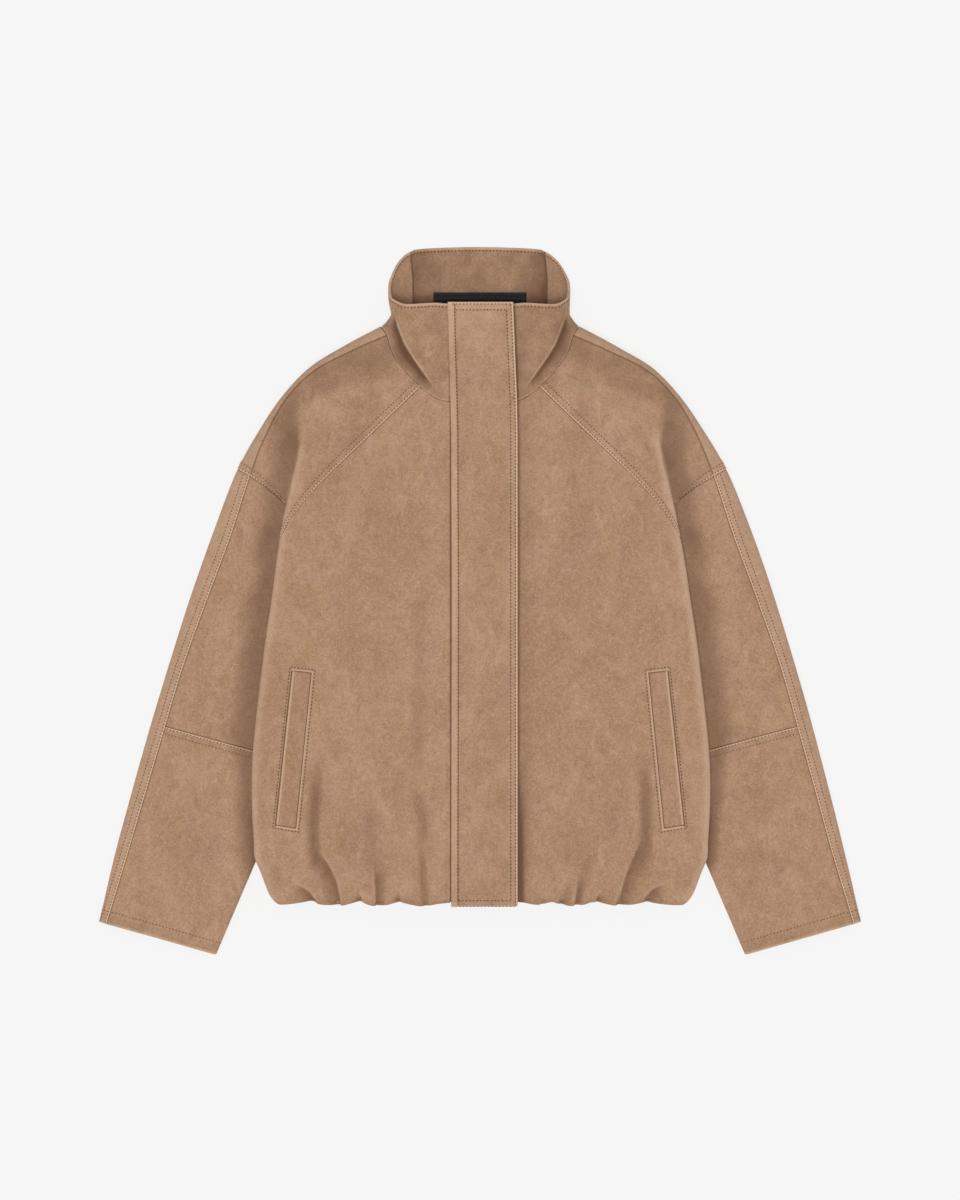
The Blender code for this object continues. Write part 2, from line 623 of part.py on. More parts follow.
# ------------------------------------------------------------------ where the grid lines run
LIP_ROWS = [-LIP_LENGTH - LIP_RETURN] + [-LIP_LENGTH * part / 5 for part in (5, 4, 3, 2, 1)]
BODY_ROWS = [0.0, 0.02, 0.05, 0.09, 0.14, 0.2, 0.28, 0.36, 0.44, 0.53, 0.62, 0.71, 0.8, 0.88,
             0.95, 0.9992]
SEAM_PLACE = 0.002           # half a seam's gap along the arm
SEAM_SHARE = 0.001           # and round it
SHOULDER_PLACES = np.concatenate([np.linspace(-1, -0.4, 7), np.linspace(-0.33, -SEAM_PLACE, 7)])
UPPER_PLACES = np.linspace(SEAM_PLACE, 1 - SEAM_PLACE, 11)
LOWER_PLACES = np.linspace(1 + SEAM_PLACE, 2.0, 9)


def seam_turn(v):
    """Half the side seam's gap in quarter turns, more round the tight hem lip."""
    return 0.1 if v < 0 else 0.02


def back_columns(v):
    """Grid lines across half of the back, gathered where it climbs onto the sleeve."""
    tries = np.linspace(0, 1, 201)
    points = back_surface(tries, np.full_like(tries, v))
    inward = sleeve_inner(points[:, 1]) - points[:, 0]
    climb = [max(float(np.interp(inset, inward, tries)), least)
             for inset, least in ((-3, 0.03), (6, 0.06), (13, 0.09), (20, 0.12), (26, 0.15))]
    return [0.0, *climb, *np.linspace(climb[-1], 1, 9)[1:]]


def front(name, side, collection):
    flat = np.linspace(0, 1, 20 if side == LEFT else 24)
    columns = [[*flat, 1.33, 1.67, 2.0, 1 + SIDE_SEAM_TURN - seam_turn(v)]
               for v in LIP_ROWS + BODY_ROWS]
    panel(name, side, front_surface(side), columns, LIP_ROWS + BODY_ROWS, SUEDE, "suede",
          collection)


def back(name, collection):
    columns = [[SIDE_SEAM_TURN + seam_turn(v) - 2, -0.33, *back_columns(v)]
               for v in LIP_ROWS + BODY_ROWS]
    outer, inner = grid(back_surface, columns, LIP_ROWS + BODY_ROWS, 0.0, -SUEDE)
    both = [np.concatenate([place_side(half, LEFT), place_side(half, RIGHT)[:, -2::-1]], axis=1)
            for half in (outer, inner)]
    close_wall(name, *both, "suede", collection)


def shoulder_columns():
    """Grid lines across the front shoulder, gathered round the fold."""
    rows = []
    for place in SHOULDER_PLACES:
        fold = crease_share(place)
        before = [fold * part for part in (0.004, 0.3, 0.6, 0.85, 0.96)]
        after = [fold + (0.997 - fold) * part for part in (0.0, 0.03, 0.09, 0.2, 0.45, 0.72, 1)]
        rows.append(before + after)
    return np.array(rows)


def sleeve_columns(first, last):
    return np.concatenate([np.linspace(first, 0.86, 9), np.linspace(0.9, last, 4)])


def collar_columns(first, last, step):
    inner = np.arange(np.ceil(first / step) * step + step / 2, last, step)
    return np.concatenate([[first], inner, [last]])


def flap(collection):
    columns = np.linspace(0, 1, 6)
    rows = np.concatenate([[FLAP_FOOT_V, -4.0, -2.0], np.linspace(0, 1, 27)])

    def rise(points):
        sink = flap_sink(points[..., 0], points[..., 1])
        return (LIE_GAP + FLAP_WALL - sink)[..., None]

    outer, inner = grid(flap_base, columns, rows, rise, lambda points: rise(points) - FLAP_WALL)
    close_wall("placket_flap", outer, inner, "suede", collection)


def label(collection):
    half = LABEL_WIDTH / 2
    across = np.linspace(-half, half, 3)
    down = np.linspace(LABEL_TOP_Y - LABEL_HEIGHT, LABEL_TOP_Y, 3)
    grid_x, grid_y = np.meshgrid(across, down)
    low = COLLAR_WALL + LIE_GAP
    faces = [np.stack([grid_x, grid_y, np.full_like(grid_x, z)], axis=-1)
             for z in (low + LABEL_WALL, low)]
    close_wall("label", *faces, "label_cloth", collection)


def build():
    for thing in list(bpy.data.objects):
        bpy.data.objects.remove(thing)
    collection = bpy.data.collections.new("suede_jacket")
    bpy.context.scene.collection.children.link(collection)
    back("back_body", collection)
    flap(collection)
    label(collection)
    collar_rows = (0.004, 0.09, 0.18, 0.27, 0.5, 0.75, 1.0)
    far_seam = 2 * COLLAR_CENTRE_BACK - COLLAR_BACK_SEAM
    panel("collar_back", LEFT, collar_back_surface,
          np.linspace(COLLAR_BACK_SEAM + 0.02, far_seam - 0.02, 9), collar_rows, COLLAR_WALL,
          "suede", collection)
    for side, word in ((LEFT, "left"), (RIGHT, "right")):
        front(f"front_body_{word}", side, collection)
        panel(f"shoulder_front_{word}", side, shoulder_front_surface, shoulder_columns(),
              SHOULDER_PLACES, SUEDE, "suede", collection)
        panel(f"shoulder_back_{word}", side, shoulder_back_surface,
              np.concatenate([np.linspace(0.003, 0.74, 5), np.linspace(0.79, 0.997, 7)]),
              SHOULDER_PLACES, SUEDE, "suede", collection)
        for part, places in (("upper", UPPER_PLACES), ("lower", LOWER_PLACES)):
            panel(f"sleeve_{part}_{word}", side, sleeve_front_surface,
                  sleeve_columns(SEAM_SHARE, 1 - SEAM_SHARE), places, SUEDE, "suede",
                  collection)
        panel(f"sleeve_back_{word}", side, sleeve_back_surface,
              np.concatenate([np.linspace(SEAM_SHARE, 0.07, 3), np.linspace(0.1, 0.76, 6),
                              np.linspace(0.8, 1 - SEAM_SHARE, 6)]),
              np.concatenate([UPPER_PLACES, LOWER_PLACES]), SUEDE, "suede", collection)
        start = LEFT_COLLAR_START if side == LEFT else RIGHT_COLLAR_START
        panel(f"collar_front_{word}", side, collar_surface(side),
              collar_columns(start, COLLAR_BACK_SEAM - 0.02, 0.75), collar_rows, COLLAR_WALL,
              "suede", collection)
        panel(f"pocket_welt_{word}", side, welt_base, np.linspace(0, 1, 4),
              np.linspace(0, 1, 12), WELT_WALL, "suede", collection,
              outside=LIE_GAP + WELT_WALL)


build()
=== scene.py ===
"""The looks of a suede jacket laid flat on its back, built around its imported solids.

Each panel is a fine shell on its solid's own loft, with the rolled edges, seam allowances,
creases and gathers of the cloth, and with threads stitched along it. Shapes are worked out in
millimetres for one half, where "across" is the distance out from the centre line, and a piece
is placed on the left or right by its sign. Z = 0 is the ground that the back rests on.
"""

from collections import namedtuple

import bpy
import numpy as np
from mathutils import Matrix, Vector


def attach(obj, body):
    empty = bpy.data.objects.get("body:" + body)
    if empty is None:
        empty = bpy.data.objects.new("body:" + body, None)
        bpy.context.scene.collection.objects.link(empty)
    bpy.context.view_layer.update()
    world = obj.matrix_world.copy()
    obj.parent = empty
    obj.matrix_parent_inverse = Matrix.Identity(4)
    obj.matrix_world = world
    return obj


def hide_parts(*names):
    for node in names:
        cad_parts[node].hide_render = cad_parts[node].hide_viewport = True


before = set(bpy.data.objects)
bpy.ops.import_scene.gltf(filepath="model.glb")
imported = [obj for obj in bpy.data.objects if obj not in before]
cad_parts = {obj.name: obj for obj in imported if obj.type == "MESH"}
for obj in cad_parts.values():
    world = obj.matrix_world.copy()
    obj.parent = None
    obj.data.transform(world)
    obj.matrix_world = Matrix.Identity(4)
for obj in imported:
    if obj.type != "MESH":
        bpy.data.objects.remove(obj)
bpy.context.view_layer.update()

MM = 0.001
LEFT, RIGHT = -1, 1
WORDS = {LEFT: "left", RIGHT: "right"}
GROUND = 0.0
UP = (0.0, 0.0, 1.0)
MIRROR = np.array((-1, 1, 1))

# ---- walls and gaps
SUEDE = 1.6  # wall of the body and the sleeves
COLLAR_WALL = 3.0  # two layers and their stiffening
FLAP_WALL = 3.0
WELT_WALL = 1.6
LABEL_WALL = 1.0
LIE_GAP = 0.35  # under a piece that lies on a panel

# ---- heights of the outer faces
MID_TOP = 18.0  # front, beside the flap
SIDE_TOP = 22.0  # front, where a sleeve lies under it
HEM_TOP = 21.0
NECK_TOP = 19.5
SLEEVE_TOP = 11.5
PINCH_TOP = 5.0  # sleeve at the underarm point
OVER_GAP = 0.8  # between the sleeve and the body that lies on it
OUTWARD = 0.35, 0.85  # of the way to the side, where the front rises to its side
HEM_RISE, NECK_RISE = (-230.0, -295.0), (90.0, 200.0)  # y where it reaches those heights
TUCK_ABOVE_HEM = -299.0, -267.0  # y where the back starts to lie on the sleeve
TUCK_CLEAR = 20.0, 70.0  # from the underarm point, where 1 mm more of gap fades

# ---- body
# side fold, from above the armpit down to the hem
BODY_EDGE = (  # y, across
    (210.5, 189), (168.5, 188.5), (147.5, 192.2), (126.5, 197.4), (84.5, 206.9),
    (42.5, 214.2), (0.5, 220), (-41.5, 226.3), (-83.5, 231.5), (-125.5, 236.2),
    (-167.5, 239.9), (-209.5, 240.5), (-251.5, 238.4), (-272.5, 236.8), (-283, 232.5),
    (-304, 224.7), (-322, 218),
)
NECK_SEAM = (  # share, across, y: front centre to the raglan seam
    (0, -33.6, 209), (0.33, 0, 208.2), (0.68, 33.6, 209.1), (0.84, 47.2, 213.2),
    (1, 62.5, 224.4),
)
RAGLAN_SEAM = (  # share, across, y: neck, over the side fold to the body's edge
    (0, 62.5, 224.4), (0.33, 114, 174.8), (0.568, 151.5, 139.1), (0.742, 177.8, 112),
    (0.848, 192.5, 94.3), (0.915, 200.7, 82.5), (1, 209.9, 67),
)
RAGLAN_ROLL_SHARE = 0.897  # where the raglan seam starts over the side fold
RAGLAN_LENGTH = 194.6  # from the neck to there, about
BACK_TOP = (  # share, across, y: side fold, underarm point, back raglan seam, back neck
    (0, 198, 76), (0.08, 182, 68), (0.15, 171, 54), (0.22, 161.7, 36.2),
    (0.32, 140.7, 81.4), (0.42, 118.7, 128.6), (0.52, 97.7, 174.8), (0.62, 77.7, 218.9),
    (0.72, 58.8, 260.9), (0.86, 30, 262.4), (1, 0, 263),
)
SIDE_RADIUS = 8.0  # side fold, seen from above
HEM_SIDE_RADIUS = 10.0
SIDE_SEAM_TURN = 1.39  # quarter turns round the side fold to the side seam
SIDE_FOLD_TOP = 65.4

# hem: the wall rolls in and returns inside, a soft tube round the opening
HEM_Y = -319.2
LIP_REACH = 6.0  # of the roll, along Y
LIP_LENGTH = 16.0  # along the surface, half a turn
LIP_RETURN = 24.0
LIP_DEPTH_FRONT = 9.0
LIP_DEPTH_BACK = 7.0
LIP_DEPTH_SIDE = 8.0
LIP_END_RADIUS = 2.5
HEM_CORNER, CORNER_POWER = 13.5, 1.7  # how much higher the hem ends at the side fold
CORNER_BAND, FOLD_BAND = (-255.0, -300.0), (-250.0, -300.0)  # y where that and the radius grow
LIP_START = HEM_Y + LIP_REACH

# placket flap: level with the left front along its seam, proud of the right front
FLAP_LEFT, FLAP_RIGHT = -32.6, 39.6
FLAP_TAPER = (  # y, across of its free edge
    (-322, 39.6), (173, 39.6), (210, 39), (239, 37.8), (312.6, 34.8),
)
FLAP_TOP_Y = 312.6
FLAP_SINK = 3.1  # of the right front under the flap's seam
FLAP_SINK_BAND = -316.0, -300.0  # y where that fades towards the hem
FLAP_FOOT_V = -6.2  # how far the flap follows the hem's roll
LEFT_FRONT_START, RIGHT_FRONT_START = 31.2, -30.0
COLLAR_CENTRE = (  # y, height of the collar's front near the centre
    (208.4, 19.5), (218.5, 20.9), (311, 27), (314, 27.1),
)

# pocket welts: corners on the front, upper outer, upper inner, lower inner, lower outer
WELT_CORNERS = ((197.4, -71.9), (175.0, -74.5), (191.6, -240.6), (214.9, -236.8))

# ---- shoulder and sleeve
# Lines across the arm, from the neck (-1) over the dropped shoulder seam (0) and the elbow
# seam (1) to the cuff (2). Each runs from the outline in to the back raglan seam or to the
# sleeve's inner fold, bowed towards the neck. "seam" is the overarm seam's distance in.
ARM_LINES = (  # place, out across, out y, in across, in y, bow, seam, top
    (-1, 104, 288.2, 58.8, 260.9, -8, 10.6, 17),
    (-0.8, 142.2, 267.9, 77.7, 218.9, -8, 8.1, 16.5),
    (-0.6, 179.6, 244.4, 97.7, 174.8, -5.6, 5.8, 16),
    (-0.4, 209.5, 212.6, 118.7, 128.6, 2, 5.3, 15),
    (-0.2, 233.8, 176.1, 140.7, 81.4, 8.6, 9, 13),
    (0, 254.8, 138.1, 161.7, 36.2, 12.6, 14.5, 11.5),
    (0.25, 280.4, 71.9, 169.1, -15.2, 11, 18.3, 11.5),
    (0.5, 304, 4.7, 176.4, -66.7, 6.5, 17.5, 11.5),
    (0.75, 325.5, -62.5, 183.8, -119.2, 3, 15.2, 11.5),
    (1, 345.4, -128.3, 191.1, -170.6, 0, 15.4, 11.5),
    (1.33, 364.9, -196.9, 220.5, -236.8, 0, 14.7, 11.5),
    (1.67, 383.6, -266.2, 249.4, -304, 0, 13, 11.2),
    (2, 400.3, -337.8, 278.7, -372.4, 0, 8.3, 10.6),
)
ARM_RADIUS = 10.0  # outer roll, seen from above
INNER_RADIUS = 7.0  # sleeve's inner fold
PINCH_RADIUS = 3.0
SHOULDER_WIDTH = 60.0  # across the front shoulder, about
PINCH_REACH = 60.0  # over which the sleeve opens from the underarm point
ROLL_STRETCH = 1.4  # quarter turn's length over its radius
UNDERARM_TURN = 0.33  # quarter turns past the inner fold to the underarm seam
TUCK_SLOPE = 25.0  # width over which the back climbs onto the sleeve
CREASE_START, CREASE_FULL = 212.0, 160.0  # y of the fold between body and sleeve
CREASE_FOOT, CREASE_MORE = 2.5, 11.0  # width of its foot, and what is added further up
CREASE_WIDENS = 104.0, 176.0  # y where that is added
ARMPIT = (203.7, 100.8)  # where the dropped shoulder seam goes under the body
DROP_SHARE = 0.45  # of the line at 0, from the outline to the armpit
UNDERFOLD = 0.02  # of a place, the armpit's fold under itself
UNDERFOLD_FROM = 0.48, 0.60  # shares of the seam where it starts
UNDERFOLD_DEEPER, UNDERFOLD_LEAST = 0.8, 0.08  # than the sleeve's top; its least drop
DROP_EDGE_SHARE = 0.6  # of the shoulder's lower edge that is this seam
NECK_SIDE = (  # share, across, y: shoulder seam to the raglan seam
    (0, 97.6, 278.4), (0.32, 90.6, 258.1), (0.65, 77.7, 240.5), (1, 62.5, 224.4),
)

# ---- collar
# Sections up the collar, from its front centre round the side to its back centre. Each
# climbs from the neck seam steeply to a ridge, then goes on to the top edge.
COLLAR_SECTIONS = (  # neck across, y, z, ridge across, y, z, top across, y, z
    (-32, 209.4, 19.5, -32, 218.6, 20.8, -32, 311, 27),
    (0, 208.8, 19.5, 0, 218.3, 20.8, 0, 311, 27),
    (33.6, 209.5, 19.5, 33.6, 219, 20.9, 33.6, 311, 27),
    (47.2, 213.6, 19.4, 46, 224, 21.6, 47, 311.8, 27),
    (62.3, 224.8, 19, 57, 235.5, 23.5, 60, 311.2, 27),
    (77.6, 240.9, 18.5, 69.7, 248.3, 25, 72, 310.6, 26.6),
    (90.4, 258.5, 17.6, 79.4, 263, 25.5, 81, 311.2, 25.3),
    (97.3, 278.8, 16.8, 87.5, 285.4, 24, 90.5, 315.6, 21.5),
    (102.1, 286, 14.3, 92.5, 294, 19.5, 94.6, 319, 18.5),
    (103.8, 288.6, 8.5, 95, 300, 12.5, 96.3, 325, 14),
    (102.1, 286, 2.6, 95.5, 298.5, 7, 96.3, 331.5, 10.5),
    (97.5, 279.1, 0.1, 94, 296, 3.5, 95, 338, 7.5),
    (88.4, 270.3, 0, 87, 290, 0.6, 88.5, 351, 3),
    (78, 266.1, 0, 78, 285, 0, 80, 361, 0.6),
    (70.4, 263.3, 0, 70.4, 283, 0, 70.6, 367, 0),
    (58, 261.9, 0, 58, 282, 0, 58, 369.4, 0),
    (0, 263.9, 0, 0, 282, 0, 0, 370.1, 0),
)
LEFT_COLLAR_START, RIGHT_COLLAR_START = 1.92, 0.06
COLLAR_BACK_SEAM = 14.0  # sections up to the seam of the back piece
COLLAR_CENTRE_BACK = 16.0
RIDGE_SHARE = 0.18
RIDGE_SOFTNESS = 0.03

# label, on the inside of the collar's back
LABEL_WIDTH = 97.6
LABEL_TOP_Y, LABEL_HEIGHT = 324.0, 41.0
LABEL_COLUMNS, LABEL_ROWS = 48, 40
LABEL_FOLD, LABEL_FOLD_AT = 0.45, 4.0  # its turned top edge, and how far down it ends
# painted sheen: a light line across the label below its top, and how far down
LABEL_PAINTED_SHEEN, LABEL_PAINTED_SHEEN_AT = 0.8, 5.5

# ---- curves and blends
def ramp(value, start, end):
    """0 before start, 1 after end, smooth between."""
    share = np.clip((value - start) / (end - start), 0, 1)
    return share * share * (3 - 2 * share)


def bell(value, width, middle=0.0, power=2):
    """1 in the middle, falling off smoothly to both sides over a width."""
    return np.exp(-((value - middle) / width) ** power)


def unit(vectors):
    return vectors / np.linalg.norm(vectors, axis=-1, keepdims=True)


def read(rows, place):
    """A table's second column at a place in its first one, which rises."""
    return np.interp(place, *np.transpose([row[:2] for row in rows]))


def smooth_curve(rows):
    """Function of a table's first column that runs smoothly through its rows."""
    table = np.array(rows, float)
    table = table[np.argsort(table[:, 0])]
    knots, values = table[:, 0], table[:, 1:]
    slopes = np.gradient(values, knots, axis=0)

    def at(place):
        place = np.clip(np.asarray(place, float), knots[0], knots[-1])
        i = np.clip(np.searchsorted(knots, place) - 1, 0, len(knots) - 2)
        span = (knots[i + 1] - knots[i])[..., None]
        s = (place - knots[i])[..., None] / span
        start = (1 + 2 * s) * (1 - s) ** 2 * values[i] + s * (1 - s) ** 2 * span * slopes[i]
        end = s * s * (3 - 2 * s) * values[i + 1] + s * s * (s - 1) * span * slopes[i + 1]
        return start + end

    return at


def broken_curve(rows):
    """The same with straight runs between the rows."""
    table = np.array(rows, float)

    def at(place):
        columns = [np.interp(place, table[:, 0], column) for column in table[:, 1:].T]
        return np.stack(columns, axis=-1)

    return at


body_edge_curve = smooth_curve(BODY_EDGE)
neck_curve = smooth_curve(NECK_SEAM)
neck_side_curve = smooth_curve(NECK_SIDE)
raglan_curve = smooth_curve(RAGLAN_SEAM)
back_top_curve = broken_curve(BACK_TOP)
arm_curve = smooth_curve(ARM_LINES)
collar_curve = smooth_curve([(i, *row) for i, row in enumerate(COLLAR_SECTIONS)])
SLEEVE_LINES = [row for row in ARM_LINES if row[0] >= 0]
UNDERARM = SLEEVE_LINES[0][3:5]


def body_edge(y):
    return body_edge_curve(y)[..., 0]


def sleeve_inner(y):
    """Across of the sleeve's inner fold at this y."""
    return read(sorted((row[4], row[3]) for row in SLEEVE_LINES), y)


# ---- heights
def front_level(across, y):
    """Height of the front's outer face, without its creases."""
    outward = ramp(np.abs(across) / body_edge(y), *OUTWARD)
    level = MID_TOP + (SIDE_TOP - MID_TOP) * outward
    level = level + (HEM_TOP - level) * ramp(y, *HEM_RISE)
    return level + (NECK_TOP - level) * ramp(y, *NECK_RISE)


def sleeve_level(across, y):
    """Greatest height of the sleeve, less near the underarm point."""
    away = np.hypot(across - UNDERARM[0], y - UNDERARM[1])
    return PINCH_TOP + (SLEEVE_TOP - PINCH_TOP) * ramp(away, 0.0, PINCH_REACH)


def under_level(across, y):
    """Height of the back's outer face: on the ground, and over the tucked sleeve."""
    climb = ramp(np.abs(across) - sleeve_inner(y), -TUCK_SLOPE, -1.0)
    above_hem = ramp(y, *TUCK_ABOVE_HEM)
    away = np.hypot(np.abs(across) - UNDERARM[0], y - UNDERARM[1])
    clear = OVER_GAP + 1.0 - ramp(away, *TUCK_CLEAR)
    return (sleeve_level(np.abs(across), y) + clear) * climb * above_hem


def flap_sink(across, y):
    """How far the right front lies lower under the flap, least at the hem."""
    outward = np.clip((across - FLAP_LEFT) / (FLAP_RIGHT - FLAP_LEFT), 0, 1)
    return FLAP_SINK * (1 - outward) * ramp(y, *FLAP_SINK_BAND)


# ---- body
def hem_path(v, top_y):
    """Y and roll-in of a place on the body: v is 0 to 1 from hem to top, and below 0 it is
    the way round the hem's lip, in millimetres."""
    turn = np.clip(-v / LIP_LENGTH, 0, 1) * np.pi
    back_up = np.maximum(-v - LIP_LENGTH, 0)
    y = LIP_START - LIP_REACH * np.sin(turn) + back_up
    y = y + np.maximum(v, 0) * (top_y - LIP_START)
    return y, (1 - np.cos(turn)) / 2


def side_fold_start(y, roll_in):
    """Across where the front's flat part ends, and the side fold's radius."""
    radius = SIDE_RADIUS + (HEM_SIDE_RADIUS - SIDE_RADIUS) * ramp(y, *FOLD_BAND)
    radius = radius + (LIP_END_RADIUS - radius) * roll_in
    return body_edge(y) - LIP_DEPTH_SIDE * roll_in - radius, radius


def body_point(across_share, turn, y, roll_in, start, side):
    """Point of the body. across_share runs from start to the side fold, and turn is the
    angle round that fold, 0 on the front to pi on the back."""
    y = y + HEM_CORNER * (1 - np.abs(np.cos(turn))) ** CORNER_POWER * ramp(y, *CORNER_BAND)
    flat_end, radius = side_fold_start(y, roll_in)
    across = start + (flat_end - start) * across_share
    low = flap_sink(across, y) if side == RIGHT else 0.0
    front = front_level(across, y) - low * (1 - roll_in) - LIP_DEPTH_FRONT * roll_in
    back = under_level(across, y) + LIP_DEPTH_BACK * roll_in
    z = (front + back) / 2 + (front - back) / 2 * np.cos(turn)
    return np.stack([across + radius * np.sin(turn), y, z], axis=-1)


def blend_share(u, top_across, top_y, start, v):
    """Share across the flat part, which leans towards its place on the top seam."""
    flat_end, _ = side_fold_start(top_y, 0.0)
    top_share = (top_across - start) / (flat_end - start)
    return u + (top_share - u) * ramp(v, 0.0, 1.0)


def front_surface(side):
    """Front panel: u is 0 at its inner edge and 1 where the side fold starts, and goes on
    in quarter turns; v is as in hem_path."""
    start = LEFT_FRONT_START if side == LEFT else RIGHT_FRONT_START
    neck_length = NECK_SEAM[-1][1] - start
    neck_share = neck_length / (neck_length + RAGLAN_LENGTH)
    neck_first = read([(row[1], row[0]) for row in NECK_SEAM], start)

    def surface(u, v):
        flat = np.minimum(u, 1.0)
        on_neck = neck_curve(neck_first + (1 - neck_first) * np.clip(flat / neck_share, 0, 1))
        raglan = np.clip((flat - neck_share) / (1 - neck_share), 0, 1)
        on_raglan = raglan_curve(raglan * RAGLAN_ROLL_SHARE)
        top = np.where((flat < neck_share)[..., None], on_neck, on_raglan)
        turn = np.maximum(u - 1, 0) * np.pi / 2
        over = np.sin(np.minimum(turn, np.pi / 2))
        top_y = top[..., 1] + (SIDE_FOLD_TOP - top[..., 1]) * over
        share = blend_share(flat, top[..., 0], top[..., 1], start, v)
        y, roll_in = hem_path(v, top_y)
        return body_point(share, turn, y, roll_in, start, side)

    return surface


def back_surface(u, v):
    """Half of the back: u is -1 at the side fold's outermost line, 0 where it ends and 1 at
    the centre."""
    flat = np.maximum(u, 0.0)
    top = back_top_curve(flat)
    share = 1 - blend_share(1 - flat, top[..., 0], top[..., 1], 0.0, v)
    y, roll_in = hem_path(v, top[..., 1])
    turn = (2 + np.minimum(u, 0.0)) * np.pi / 2
    return body_point(1 - share, turn, y, roll_in, 0.0, LEFT)


# ---- shoulder and sleeve
def arm_line(place, distance):
    """Plan point at a distance in from the outline along the line at this place."""
    row = arm_curve(place)
    out, inner, bow = row[..., 0:2], row[..., 2:4], row[..., 4]
    run = inner - out
    length = np.hypot(run[..., 0], run[..., 1])
    share = distance / length
    lift = 4 * bow * share * (1 - share) / length
    return np.stack([out[..., 0] + run[..., 0] * share + run[..., 1] * lift,
                     out[..., 1] + run[..., 1] * share - run[..., 0] * lift], axis=-1)


def arm_sizes(place, inner_fold):
    """Length of the line, quarter turns' lengths, and half the way round."""
    row = arm_curve(place)
    length = np.hypot(row[..., 2] - row[..., 0], row[..., 3] - row[..., 1])
    radius = (PINCH_RADIUS + (INNER_RADIUS - PINCH_RADIUS) * ramp(place, 0.0, 0.3)) * inner_fold
    quarter_out, quarter_in = ARM_RADIUS * ROLL_STRETCH, radius * ROLL_STRETCH
    half_way = quarter_out + length - ARM_RADIUS - radius + quarter_in
    return length, radius, quarter_out, quarter_in, half_way


def arm_surface(inner_fold):
    """Loop round the arm: s is the way from the outline, over the top if positive and
    underneath if negative; place is as in ARM_LINES."""
    def surface(s, place):
        length, radius, quarter_out, quarter_in, half_way = arm_sizes(place, inner_fold)
        beyond = np.abs(s) > half_way
        way = np.where(beyond, 2 * half_way - np.abs(s), np.abs(s))
        face = np.where(beyond, -np.sign(s), np.sign(s))
        turn_out = np.clip(way / quarter_out, 0, 1) * np.pi / 2
        left = half_way - way
        turn_in = np.clip(left / np.maximum(quarter_in, 1e-6), 0, 1) * np.pi / 2
        distance = ARM_RADIUS * (1 - np.cos(turn_out)) + np.maximum(way - quarter_out, 0)
        near_in = length - radius * (1 - np.cos(turn_in))
        distance = np.where(left < quarter_in, near_in, distance)
        plan = arm_line(place, distance)
        top = arm_curve(place)[..., 6]
        if inner_fold:
            top = top * sleeve_level(plan[..., 0], plan[..., 1]) / SLEEVE_TOP
        rise = np.sin(turn_out) * (np.sin(turn_in) if inner_fold else 1.0)
        z = top / 2 * (1 + face * rise)
        return np.concatenate([plan, z[..., None]], axis=-1)

    return surface


def overarm_way(place):
    """Way over the top from the outline to the overarm seam."""
    seam = arm_curve(place)[..., 5]
    quarter = ARM_RADIUS * ROLL_STRETCH
    turn = np.arccos(np.clip(1 - seam / ARM_RADIUS, 0, 1))
    return np.where(seam < ARM_RADIUS, quarter * turn / (np.pi / 2), quarter + seam - ARM_RADIUS)


def underarm_way(place):
    """Way over the top to the underarm seam, just under the inner fold."""
    _, _, _, quarter_in, half_way = arm_sizes(place, True)
    return half_way + UNDERARM_TURN * quarter_in


def sleeve_front_surface(share, place):
    """share is 0 at the overarm seam and 1 at the underarm seam."""
    start = overarm_way(place)
    return arm_surface(True)(start + (underarm_way(place) - start) * share, place)


def sleeve_back_surface(share, place):
    """share is 0 at the underarm seam and 1 at the overarm seam, round under the arm."""
    _, _, _, quarter_in, half_way = arm_sizes(place, True)
    start = -(half_way - UNDERARM_TURN * quarter_in)
    return arm_surface(True)(start + (overarm_way(place) - start) * share, place)


def shoulder_back_surface(share, place):
    """share is 0 at the back raglan seam and 1 at the shoulder seam."""
    _, _, _, _, half_way = arm_sizes(place, False)
    return arm_surface(False)(-half_way + (overarm_way(place) + half_way) * share, place)


def coons(side_a, side_b, end_a, end_b, across, along):
    """Plan patch between four edges."""
    across, along = across[..., None], along[..., None]
    corner = (end_a(np.zeros(1)), end_a(np.ones(1)), end_b(np.zeros(1)), end_b(np.ones(1)))
    sides = (1 - across) * side_a(along[..., 0]) + across * side_b(along[..., 0])
    ends = (1 - along) * end_a(across[..., 0]) + along * end_b(across[..., 0])
    corners = (1 - along) * ((1 - across) * corner[0] + across * corner[1])
    corners = corners + along * ((1 - across) * corner[2] + across * corner[3])
    return sides + ends - corners


def drop_edge(share):
    """Dropped shoulder seam, then up the body's edge to the raglan seam."""
    zero = np.zeros_like(share)
    seam = arm_curve(zero)[..., 5]
    length = arm_sizes(zero, False)[0]
    first = np.minimum(share / DROP_EDGE_SHARE, 1.0)
    on_line = arm_line(zero, seam + (DROP_SHARE * length - seam) * first)
    up = np.clip((share - DROP_EDGE_SHARE) / (1 - DROP_EDGE_SHARE), 0, 1)[..., None]
    return on_line + up * (np.array(RAGLAN_SEAM[-1][1:]) - np.array(ARMPIT))


def fold_step(inside, foot_width):
    """Profile of the fold where the body lies on the sleeve: 0 outside, 1 on the body."""
    over = np.clip(inside / SIDE_RADIUS, 0, 1)
    foot = 1 + np.clip(inside / foot_width, -1, 0)
    upper = 0.5 + 0.5 * np.sqrt(1 - (1 - over) ** 2)
    lower = 0.5 - 0.5 * np.sqrt(1 - foot ** 2)
    return np.where(inside >= 0, upper, lower)


def shoulder_plan(share, place):
    return coons(lambda a: arm_line(a - 1, arm_curve(a - 1)[..., 5]), raglan_curve,
                 neck_side_curve, drop_edge, share, place + 1)


